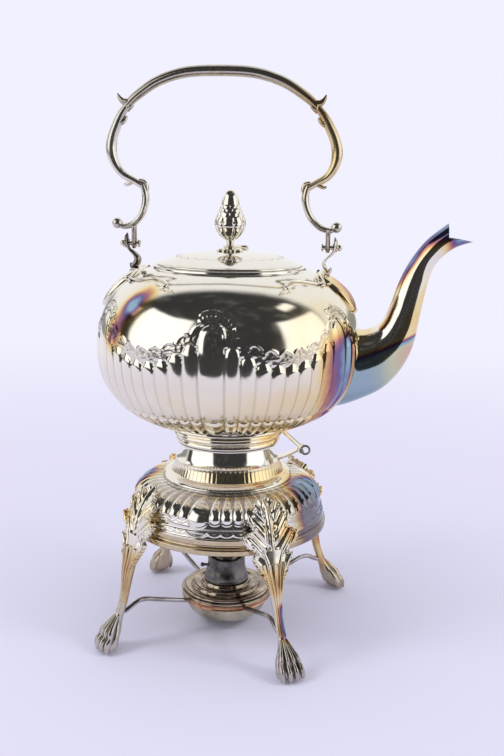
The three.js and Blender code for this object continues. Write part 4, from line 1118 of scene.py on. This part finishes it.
def metal(name, low, high, rough, grain=60.0, bump_depth=0.25):
    """Bare or stained metal, cloudy between two colours."""
    made, net = material(name)
    place = net.add("ShaderNodeTexCoord", output=3)
    cloud = net.noise(place, grain, 5.0, 0.6)
    specks = net.noise(place, grain * 9, 2.0)
    colour = net.mix(cloud.step(0.34, 0.66), low, high)
    colour = net.mix(specks.step(0.58, 0.72) * 0.4, colour, tuple(c * 0.5 for c in low))
    height = cloud * 0.7 + specks * 0.3
    bump = net.add("ShaderNodeBump", None, {"Strength": bump_depth, "Distance": 0.0004, "Height": height})
    dull = cloud * 0.3 + specks * 0.1 + (rough - 0.2)
    shine(net, {"Base Color": colour, "Metallic": 1.0, "Roughness": dull, "Normal": bump})
    return made


pin_metal = metal("pin_steel", (0.2, 0.19, 0.18), (0.42, 0.4, 0.37), 0.3)
pull_ring = [(tilt_place[0] + 3.3 + 3.1 * math.cos(a), -7.9, 140 + 3.1 * math.sin(a), 0.8, 0.8)
             for a in np.linspace(0, 2 * math.pi, 13)]
pull_line = blended([(0, -8.5), (1.1, -8.3), (1.1, -8.3), (1.1, 7.4), (0.8, 7.9), (0, 8)], 3)
pin_shape = joined(turned_along(pull_line, tilt_place, (0, 1, 0), 20), bar(pull_ring, 12, (0, 1, 0), 3))
fit(solid("tilt_pull_pin", pin_shape, pin_metal), "pull_pin", "dark_metal", "tilt_pin")


# Stand.
# A ring-shaped shell: a plain neck that the kettle's foot sits over, a fluted cove, a bright ring, a
# bulge with lobes and a chased scallop line under them, and a flat rim. It is spun and hand chased.
rim_edge = (92.5 * mm, 90.5 * mm)
bulge_low, bulge_high = 97 * mm, 118 * mm
cove_low, cove_high = 121.9 * mm, 130.2 * mm


def stand_film(place, net):
    x, y, z = place.xyz()
    ripple = (net.noise(place, 50.0, 3.0) - 0.5) * 0.3
    cove = z.inside(cove_low - 0.4 * mm, cove_high + 0.3 * mm, 1.2 * mm) * (x * 2.0 + 0.22)
    rim = z.step(*rim_edge) * 0.26
    right = (spot(place, (72, -14, 102), 46, net) * 1.7).at_most(0.76)
    left = spot(place, (-68, 4, 108), 34, net) * 0.95
    gold = spot(place, (42, -46, 118), 24, net) * 0.3
    marks = right.at_least(left).at_least(gold)
    return cove + rim + marks + ripple * (marks + rim).at_most(0.3)


def stand_stain(place, net):
    x, y, z = place.xyz()
    return z.step(*rim_edge) * 0.42 + spot(place, (64, -28, 100), 40, net) * z.step(0.12, 0.108) * 0.9


stand_plate = plate("stand_silver", stand_film, base=0.05, wander=0.08, grey_and_shade=stand_stain)


def gadroons(name, sizes):
    """A node group that raises the lobes of the bulge, the flutes of the cove and the scallop line."""
    net, value = node_group(name, sizes)
    x, y, z = net.add("GeometryNodeInputPosition").xyz()
    radius = (x * x + y * y) ** 0.5
    lobe = lobes_round(x, y, value)
    half = radius * lobe["width"] * (math.pi / 360)
    # A lobe of the bulge is round below, and runs up to a narrow end under the ring.
    u = lobe["u"] / (1.0 - (z - 0.105).at_least(0.0) * 22.0 * (1.0 - lobe["wide"] * 0.4))
    bottom = value["Bottom"] - lobe["wide"] * 3.0 * mm
    low_end = ((bottom + half - z) / half).at_least(0.0)
    top = value["Top"] - lobe["wide"] * 0.6 * mm
    taper = half * 0.9 + (1.0 - lobe["wide"]) * half * 1.2
    high_end = ((z - top + taper) / taper).at_least(0.0)
    reach = (u * u + low_end * low_end + high_end * high_end).at_most(1.0)
    raised = (1.0 - reach) ** 0.7
    on_bulge = z.inside(bulge_low, bulge_high, 0.4 * mm)
    # The scallop line follows the ends of the lobes.
    side = (1.0 - lobe["u"] * lobe["u"]).at_least(0.0) ** 0.5
    near = (z - bottom - (1.0 - side * 0.85) * half + 1.5 * mm) / (0.4 * mm)
    far = (z - (bulge_low + 0.2 * mm) + side * (lobe["wide"] * 1.2 + 3.0) * mm) / (0.4 * mm)
    off = near.math("ABSOLUTE").at_most(far.math("ABSOLUTE"))
    ridge = crest(off)
    # The cove under the neck has fine upright flutes.
    flute = (y.math("ARCTAN2", x) * 35.0).math("COSINE").math("ABSOLUTE") ** 0.6
    cove = z.inside(cove_low, cove_high, 0.6 * mm) * (flute - 0.5)
    push = (raised * value["Relief"] - on_bulge * value["Relief"] * 0.45 + ridge * 0.5 * mm
            + cove * 0.16 * mm)
    valley = reach.step(0.8, 1.0) * on_bulge * low_end.step(1.0, 0.4) * 0.5
    valley = valley + (0.3 - flute).at_least(0.0) * 4.0 * cove.math("ABSOLUTE")
    soil = valley + (off * off).step(5.0, 2.0) * 0.3 - ridge * 0.5
    return chased_shell(net, value, net.add("GeometryNodeInputNormal"), push, soil)


stand_neck = blended([
    (33.5, 143), (33.5, 143), (33.9, 140.6), (34.9, 137.4), (36.4, 133.8), (38.2, 131.3), (38.9, 130.9),
    (38.9, 130.9), (39.1, 128.6), (39.9, 125.4), (41.3, 122.1), (42.1, 121.4), (42.1, 121.4), (43.6, 121.4),
    (45.4, 120.9), (47, 119.8), (48.1, 118.4), (48.5, 116.9),
], 3)
stand_bulge = blended([
    (48.5, 116.9), (52.6, 116.8), (57.4, 115.6), (61.8, 113.3), (65.6, 110), (68, 106.8), (69.5, 103.6),
    (70.4, 100.2), (70.8, 97.4), (71.2, 94.4), (71.6, 92.6),
], 9)
stand_rim = blended([
    (71.6, 92.6), (72.3, 92.2), (72.5, 91.4), (72.5, 91.4), (72.7, 88.2), (72.7, 88.2), (72.1, 87.6),
    (72.3, 86.4), (73.2, 85.8), (74, 85.5), (74.3, 84.8), (74.3, 84.8), (74.3, 82.2), (74.3, 82.2),
    (73.9, 81.3),
], 3)
stand_outer = [*stand_neck, *stand_bulge[1:], *stand_rim[1:]]
stand_inner = [(72.6, 81.2), (70.8, 84.4), (70.4, 88.6), (69, 94.6), (67, 100), (62.6, 106.8), (55, 111.6),
               (46, 114.6), (40.6, 118.8), (36.8, 124.6), (33, 131.6), (31.8, 138), (31.7, 142.7)]
stand_line = np.array([*stand_outer, *stand_inner]) * mm
around_stand = 560
stand_marks = np.zeros((len(stand_line), around_stand))
stand_marks[:len(stand_outer) - 3] = 1.0
gadroon_sizes = {"Wide lobes": 4.0, "Narrow lobes": 11.0, "Wide angle": 13.0, "Start": -100.0,
                 "Top": 117 * mm, "Bottom": 102.6 * mm, "Relief": 1.7 * mm}
gadroon_tree = gadroons("stand_gadroons", gadroon_sizes)
stand_shell = formed("stand_shell_gadrooned", lathe(stand_line, around_stand), stand_plate, gadroon_tree,
                     gadroon_sizes, stand_marks.ravel())
fit(stand_shell, "stand", "silver_plate", "stand_shell")
ring_line = blended([
    (30.6, 143.3), (30.6, 143.3), (37, 143.3), (37.7, 143.5), (37.8, 144), (37.4, 144.5), (33.4, 144.6),
    (33, 145), (33, 149.4), (32.6, 150), (31, 150), (30.6, 149.6),
], 3)
fit(turned("neck_seat_ring", ring_line, 128, stand_plate), "stand", "silver_plate", "neck_ring")


# Legs.
# Each is one casting: a spray of pointed leaves over the bulge, a reeded shaft and a paw with four toes.
# It is soldered to the bulge behind the leaves, and use has bent each leg a little in its own way.
def leg_film(place, net):
    x, y, z = place.xyz()
    ripple = (net.noise(place, 90.0, 4.0) - 0.5) * 0.3
    streaks = net.noise(place, 28.0, 2.0).step(0.42, 0.62)
    shaft = z.inside(0.03, 0.078, 0.008) * 0.32 * (streaks * 0.7 + 0.3)
    ankle = streak(place, (47, -75, 46), (52, -80, 26), 6.5, net) * 0.62
    leaf_gold = z.step(0.084, 0.1) * 0.16 * streaks
    gilt = spot(place, (52, -60, 96), 17, net) * 0.3
    outer_left = spot(place, (-74, -36, 100), 30, net) * 0.24
    rear = y.step(0.0, 0.03) * 0.2 + spot(place, (72, 66, 24), 13, net) * 0.5
    return shaft + ankle + leaf_gold + gilt + outer_left + rear + ripple * (shaft + ankle + 0.3)


# Darker and greyer low on the legs: below the leaves the left legs more, and on the paws the right legs more.
def legs_darker_low(place, net):
    x, y, z = place.xyz()
    return z.step(0.084, 0.066) * (0.2 - x * 2.0) + z.step(0.034, 0.018) * (x * 2.6 + 0.36)


leg_plate = plate("leg_silver", leg_film, base=0.08, wander=0.08, rough=0.16, grey_and_shade=legs_darker_low)
leaf_line = blended([(83.6, 62), (82, 70), (80.2, 78), (78.4, 86), (76.6, 94), (74.2, 101.6), (70.4, 108.4),
                     (65, 114), (58.6, 118.2), (53, 120.4)], 8)
leaf_length = np.concatenate([[0], np.cumsum(np.linalg.norm(np.diff(leaf_line, axis=0), axis=1))])


def on_leaf(along, across, lift):
    """A point of the leaf: distances up from its root and across, and height off its middle line. The leaf
    bends back round the bulge."""
    r, z = (np.interp(along, leaf_length, leaf_line[:, k]) for k in (0, 1))
    ahead_r, ahead_z = (np.interp(along + 1, leaf_length, leaf_line[:, k]) for k in (0, 1))
    size = math.hypot(ahead_r - r, ahead_z - z) or 1.0
    lift -= across * across / 96
    return (r + lift * (ahead_z - z) / size, across, z - lift * (ahead_r - r) / size)


def leaf():
    """A leaf in relief. Its lobes spring from the spine and point up and out, each with a vein and a notched
    edge, and the ground between them lies deeper."""
    outline = [(0, 5.4), (5, 8.2), (11, 11), (17, 13.8), (20, 14.8), (22.4, 12), (28, 15.8), (34, 19.4),
               (37, 17.8), (39, 13.4), (44, 14.4), (47.6, 14.8), (50, 10.4), (55, 9.4), (58, 6), (61, 1.4)]
    alongs, halves = np.array(outline).T
    lobe_starts = [-24, -7, 6.9, 22, 36.7, 50, 64]
    rows, columns = 150, 81
    top = np.zeros((rows, columns, 3))
    bottom = np.zeros((rows, columns, 3))
    for i, along in enumerate(np.linspace(0, outline[-1][0], rows)):
        half = np.interp(along, alongs, halves) - 0.7 * abs(math.sin(math.pi * along / 3.1))
        for j in range(columns):
            s = 2 * j / (columns - 1) - 1
            across = abs(s) * half
            place = np.interp(along - 1.25 * across, lobe_starts, range(len(lobe_starts)))
            share = place % 1
            open_out = min(1.0, across / 5)
            lobe = (1 - abs(2 * share - 1) ** 2.2) * open_out
            vein = math.exp(-((share - 0.52) / 0.07) ** 2) * open_out
            folds = math.cos(2 * math.pi * 4 * share) * min(1.0, across / 9)
            edge = math.exp(-((abs(s) - 0.94) / 0.07) ** 2)
            crumple = edge * math.sin(along * 2.1 + 3 * s) * math.sin(along * 0.83 + 1)
            spine = math.exp(-(across / 1.3) ** 2) - 0.55 * math.exp(-((across - 2.6) / 1.2) ** 2)
            lift = 1 + 2.1 * lobe - 0.8 * vein + 0.3 * folds + 1.5 * spine + 0.8 * crumple + 1.1 * abs(s) ** 3
            top[i, j] = on_leaf(along, s * half, max(0.5, lift))
            bottom[i, j] = on_leaf(along, s * half, -0.2)
    return pad(top * mm, bottom * mm)


def leaf_tips():
    """The curled ends of the lobes, and two smooth sheath blades at the leaf's root."""
    shapes = []
    for s in (-1, 1):
        for points in (
            [(0, 3.4, 1.6, 1.4, 1), (8, 6.4, 2.2, 2, 1.4), (14, 9.6, 2.8, 2.1, 1.4), (20, 13.6, 3.8, 1, 1.1)],
            [(-3, 1.6, 1.8, 1.2, 1), (7, 2.8, 2.4, 1.7, 1.4), (16, 4.6, 2.6, 1.6, 1.3),
             (25, 7, 2.8, 0.6, 0.7)],
            [(27, 15, 2.8, 1.2, 1), (31.4, 17.6, 3.8, 2, 1.5), (35, 19.4, 4.6, 0.9, 1)],
            [(42, 12.2, 2.8, 1.1, 1), (46, 14, 3.4, 1.6, 1.3), (49, 14.8, 3.8, 0.7, 0.8)],
        ):
            line = [(*on_leaf(along, s * across, lift), wide, thick)
                    for along, across, lift, wide, thick in points]
            shapes.append(bar(line, 16, (0, 1, 0), 5, 1.5))
        for along, across, lift, radius in (
            (35, 19.4, 4.8, 1.4), (31.6, 19.6, 4.2, 1.1), (28.4, 17.6, 3.6, 1), (37.2, 16.4, 3.8, 1),
            (20.4, 14.4, 4.2, 1.3), (17, 14.2, 3.4, 0.9), (22.6, 12.2, 3.4, 0.8), (48.8, 14.6, 3.8, 1),
            (45, 15.2, 3.2, 0.8), (56.4, 8.6, 3.2, 0.9), (61, 1.2, 3.2, 1),
        ):
            flank = radius * 0.7
            ball = [(0, -radius), (flank, -flank), (radius, 0), (flank, flank), (0, radius)]
            shapes.append(turned_along(blended(ball, 3), on_leaf(along, s * across, lift), (1, 0, 0), 12))
    return joined(*shapes)


bend_start = 75
bend_power = 1.5


def turned_round(points, azimuth):
    """Points turned round the upright axis."""
    turn = math.radians(azimuth)
    across, ahead = math.sin(turn), math.cos(turn)
    return points @ np.array([[ahead, across, 0], [-across, ahead, 0], [0, 0, 1]])


def placed_leg(shape, azimuth, splay, sway):
    """The leg's points, bent outwards and aside below the stand and turned to their place round it."""
    points, faces = shape
    points = np.array(points)
    share = (np.maximum(0, bend_start - points[:, 2] / mm) / bend_start) ** bend_power
    points[:, 0] += splay * mm * share
    points[:, 1] += sway * mm * share
    points[:, 2] = np.maximum(points[:, 2], 0)
    return turned_round(points, azimuth), faces


def whole_leg():
    """A leg before it is bent: the shaft, its leaf, the reeds on it, four toes and the sides of the paw."""
    shaft = bar([
        (79.4, 0, 86, 9, 2), (80.4, 0, 79, 11, 2.6), (81.8, 0, 72.6, 8.8, 3.2), (83, 0, 66, 6.4, 3.6),
        (84.4, 0, 58, 4.6, 3.6), (86, 0, 48, 3.4, 3.2), (87.8, 0, 37.6, 2.9, 2.9), (90.4, 0, 28.4, 2.9, 3.1),
        (92.8, 0, 22.4, 3.8, 3.8), (95.6, 0, 15.6, 6.4, 5.2), (98.6, 0, 8.6, 7.4, 5.2),
        (101.4, 0, 4, 6.6, 4), (103, 0, 2.6, 4, 2),
    ], 40)
    reeds = []
    for s in (-2, -1, 0, 1, 2):
        inner = 2 - abs(s)
        reeds.append(bar([
            (83.6 + 0.8 * inner, s * 4, 78, 1.1, 1.1), (85 + 0.7 * inner, s * 2.9, 69, 1.05, 1.2),
            (87 + 0.6 * inner, s * 1.9, 60, 0.9, 1), (88.2 + 0.5 * inner, s * 1.25, 48, 0.7, 0.8),
            (89.8 + 0.5 * inner, s * 1.05, 38, 0.6, 0.7), (92.4 + 0.6 * inner, s * 1.2, 28, 0.7, 0.7),
        ], 10, ridge=1.4))
    toes = []
    for s in (-1.5, -0.5, 0.5, 1.5):
        out = 2.4 - abs(s) * 1.5
        toes.append(bar([
            (93.4 + out * 0.2, s * 1.4, 26.4, 0.6, 0.9), (97 + out * 0.4, s * 2.6, 21.4, 1.15, 1.7),
            (100.6 + out * 0.6, s * 4, 15.8, 1.6, 2.6), (101.6 + out * 0.7, s * 4.6, 12.2, 1.45, 2.1),
            (103.4 + out * 0.9, s * 4.9, 8.4, 1.85, 2.8), (104.4 + out, s * 4.9, 4.6, 1.8, 2.2),
            (104.6 + out, s * 4.8, 2, 1.3, 1.2),
        ], 18))
    sides = [bar([(95, s * 5.2, 18, 0.9, 1.6), (97.6, s * 7.6, 12, 1.3, 2.5), (99.8, s * 8.4, 6.2, 1.4, 2.9),
                  (100.8, s * 8.2, 2.6, 1.1, 1.8)], 16) for s in (-1, 1)]
    return joined(shaft, leaf(), leaf_tips(), *reeds, *toes, *sides)


def stretcher(azimuth, splay, sway):
    """A round bar, soldered inside the leg, that bends down to the ring which holds the burner."""
    height = 30
    bend = ((bend_start - height) / bend_start) ** bend_power
    reach = splay * bend
    line = [(32.6, 22.4, 1.5), (35, 22.8, 1.75), (44, 25.4, 1.75), (60, height, 1.75), (68, 32.4, 1.75),
            (72.4, 33.2, 1.75), (77 + reach, 32.6, 1.75), (83 + reach, 29.6, 1.75), (87.6 + reach, 27.4, 1.7)]
    points, faces = bar([(x, 0, z, half, half) for x, z, half in line], 16)
    aside = math.degrees(math.atan2(sway * bend, 84.2 + reach))
    return turned_round(points, azimuth + aside), faces


stretcher_metal = metal("stretcher_metal", (0.24, 0.22, 0.22), (0.56, 0.51, 0.5), 0.08, bump_depth=0.06)
straight_leg = whole_leg()
for name, azimuth, splay, sway in (
    ("front_right", -60, 2, 5), ("front_left", -138.5, 0, -4.5),
    ("rear_left", 131, 0, 0), ("rear_right", 42.5, 4, -8),
):
    leg = placed_leg(straight_leg, azimuth, splay, sway)
    fit(solid(f"leg_{name}_cast", leg, leg_plate, 50), "stand", "tarnished_plate", f"leg_{name}")
    link = stretcher(azimuth, splay, sway)
    fit(solid(f"stretcher_{name}_bar", link, stretcher_metal), "stand", "silver_plate", f"stretcher_{name}")


# Burner.
# A round fuel bowl hangs by its flange in the ring. Its cover lifts off with the wick tube, and a sleeve
# on the tube turns by a stub to bare the flame.
copper_metal = metal("ring_copper", (0.34, 0.16, 0.09), (0.6, 0.35, 0.21), 0.14, bump_depth=0.1)
bowl_metal = metal("bowl_brass", (0.3, 0.27, 0.18), (0.62, 0.58, 0.44), 0.08, grain=40.0, bump_depth=0.06)
cover_metal = metal("cover_bronze", (0.22, 0.175, 0.13), (0.55, 0.46, 0.36), 0.08, bump_depth=0.06)
sleeve_metal = metal("sleeve_steel", (0.07, 0.065, 0.06), (0.24, 0.23, 0.21), 0.3, bump_depth=0.15)
burner_ring_line = blended([
    (32.2, 20.5), (32.2, 20.5), (33.4, 20.2), (33.9, 20.8), (33.5, 21.6), (33.5, 23), (34, 23.8),
    (33.8, 24.6), (33.8, 24.6), (32.2, 24.6), (32.2, 24.6), (32.2, 21),
], 4)
fit(turned("burner_ring_band", burner_ring_line, 128, copper_metal), "stand", "copper", "burner_ring")
bowl_line = blended([
    (0, 5.2), (10, 5.25), (17, 5.6), (22.6, 7), (26.8, 9.8), (29.8, 14), (31, 19), (31.5, 24.4), (31.5, 24.4),
    (32.6, 24.85), (34, 24.9), (34.4, 25.4), (34.2, 26.2), (33, 26.4), (30.4, 26.4), (30.4, 26.4), (30, 20),
    (29, 15.4), (24.6, 10), (16.6, 7), (0, 6.6),
], 4)
fit(turned("burner_bowl_spun", bowl_line, 128, bowl_metal), "fuel_bowl", "silver_plate", "burner_bowl")
cover_line = blended([
    (12.4, 31.8), (12.4, 31.8), (12.4, 33), (12.4, 33), (17.2, 33.1), (18, 32.8), (18, 32.8), (18.6, 31),
    (20.2, 30.4), (21.4, 30.7), (21.4, 30.7), (23.4, 31.2), (25, 30.9), (25.7, 30.1), (25.7, 30.1),
    (26.3, 28.8), (28.2, 28.5), (28.2, 28.5), (30.4, 29), (32, 28.8), (32.9, 28), (33, 27.2), (32.8, 26.8),
    (32.8, 26.8), (28.8, 26.7), (28.8, 26.7), (28.8, 25), (28.8, 25), (27.6, 25), (27.6, 25),
    (27.6, 27.4), (18.6, 30.2), (12.6, 31.6),
], 4)
fit(turned("burner_cover_spun", cover_line, 128, cover_metal), "burner_top", "silver_plate", "burner_cover")
tube_line = [(8.6, 12), (9.6, 12), (9.8, 12.4), (9.8, 33.3), (13, 33.3), (13.2, 33.6), (13.2, 34.2),
             (12.6, 34.5), (9.8, 34.8), (9.8, 52.4), (9.4, 53), (8.8, 53), (8.6, 52.6)]
fit(turned("wick_tube_drawn", tube_line, 96, sleeve_metal), "burner_top", "dark_metal", "wick_tube")
sleeve_line = blended([(15.4, 33.3), (15.4, 33.3), (16.4, 33.3), (16.9, 33.7), (16.9, 34.6), (16.3, 35.2),
                       (16, 37.6), (14.9, 41.6), (14.3, 45), (14.1, 50.4), (14.4, 50.9), (14.1, 51.4),
                       (12.8, 51.4), (12.8, 51.4), (13.1, 45), (14.8, 37)], 4)
stub_line = [(0, 0), (1, 0), (1, 3.4), (1.2, 3.7), (1.7, 4.8), (1.4, 6), (0, 6.4)]
stub_turn = math.radians(190)
stub_out = (math.cos(stub_turn), math.sin(stub_turn), 0.03)
stub = turned_along(stub_line, (13.6 * stub_out[0], 13.6 * stub_out[1], 43.6), stub_out, 20)
sleeve = solid("flame_sleeve_drawn", joined(lathe(sleeve_line * mm, 96), stub), sleeve_metal)
fit(sleeve, "sleeve", "dark_metal", "flame_sleeve")

cotton, net = material("wick_cotton")
place = net.add("ShaderNodeTexCoord", output=3)
along_x, along_y, along_z = place.xyz()
round_wick = along_y.math("ARCTAN2", along_x) * 14.0
up_wick = along_z * 2600.0
braid = (round_wick + up_wick).math("SINE") * (round_wick - up_wick).math("SINE")
fluff = net.noise(place, 900.0, 3.0)
charred = fluff * 0.6 + along_z.step(0.052, 0.056) * 0.6
tone = net.mix(charred, (0.7, 0.66, 0.56), (0.2, 0.17, 0.14))
bump = net.add("ShaderNodeBump", None, {"Strength": 0.8, "Distance": 0.0004, "Height": braid + fluff})
shine(net, {"Base Color": tone, "Roughness": 0.95, "Normal": bump})
wick_line = blended([(0, 9), (7.9, 9), (7.9, 9), (7.9, 52), (7.2, 54.4), (4.6, 55.8), (0, 56.1)], 6)
fit(turned("wick_braid", wick_line, 64, cotton), "burner_top", "cotton", "wick")
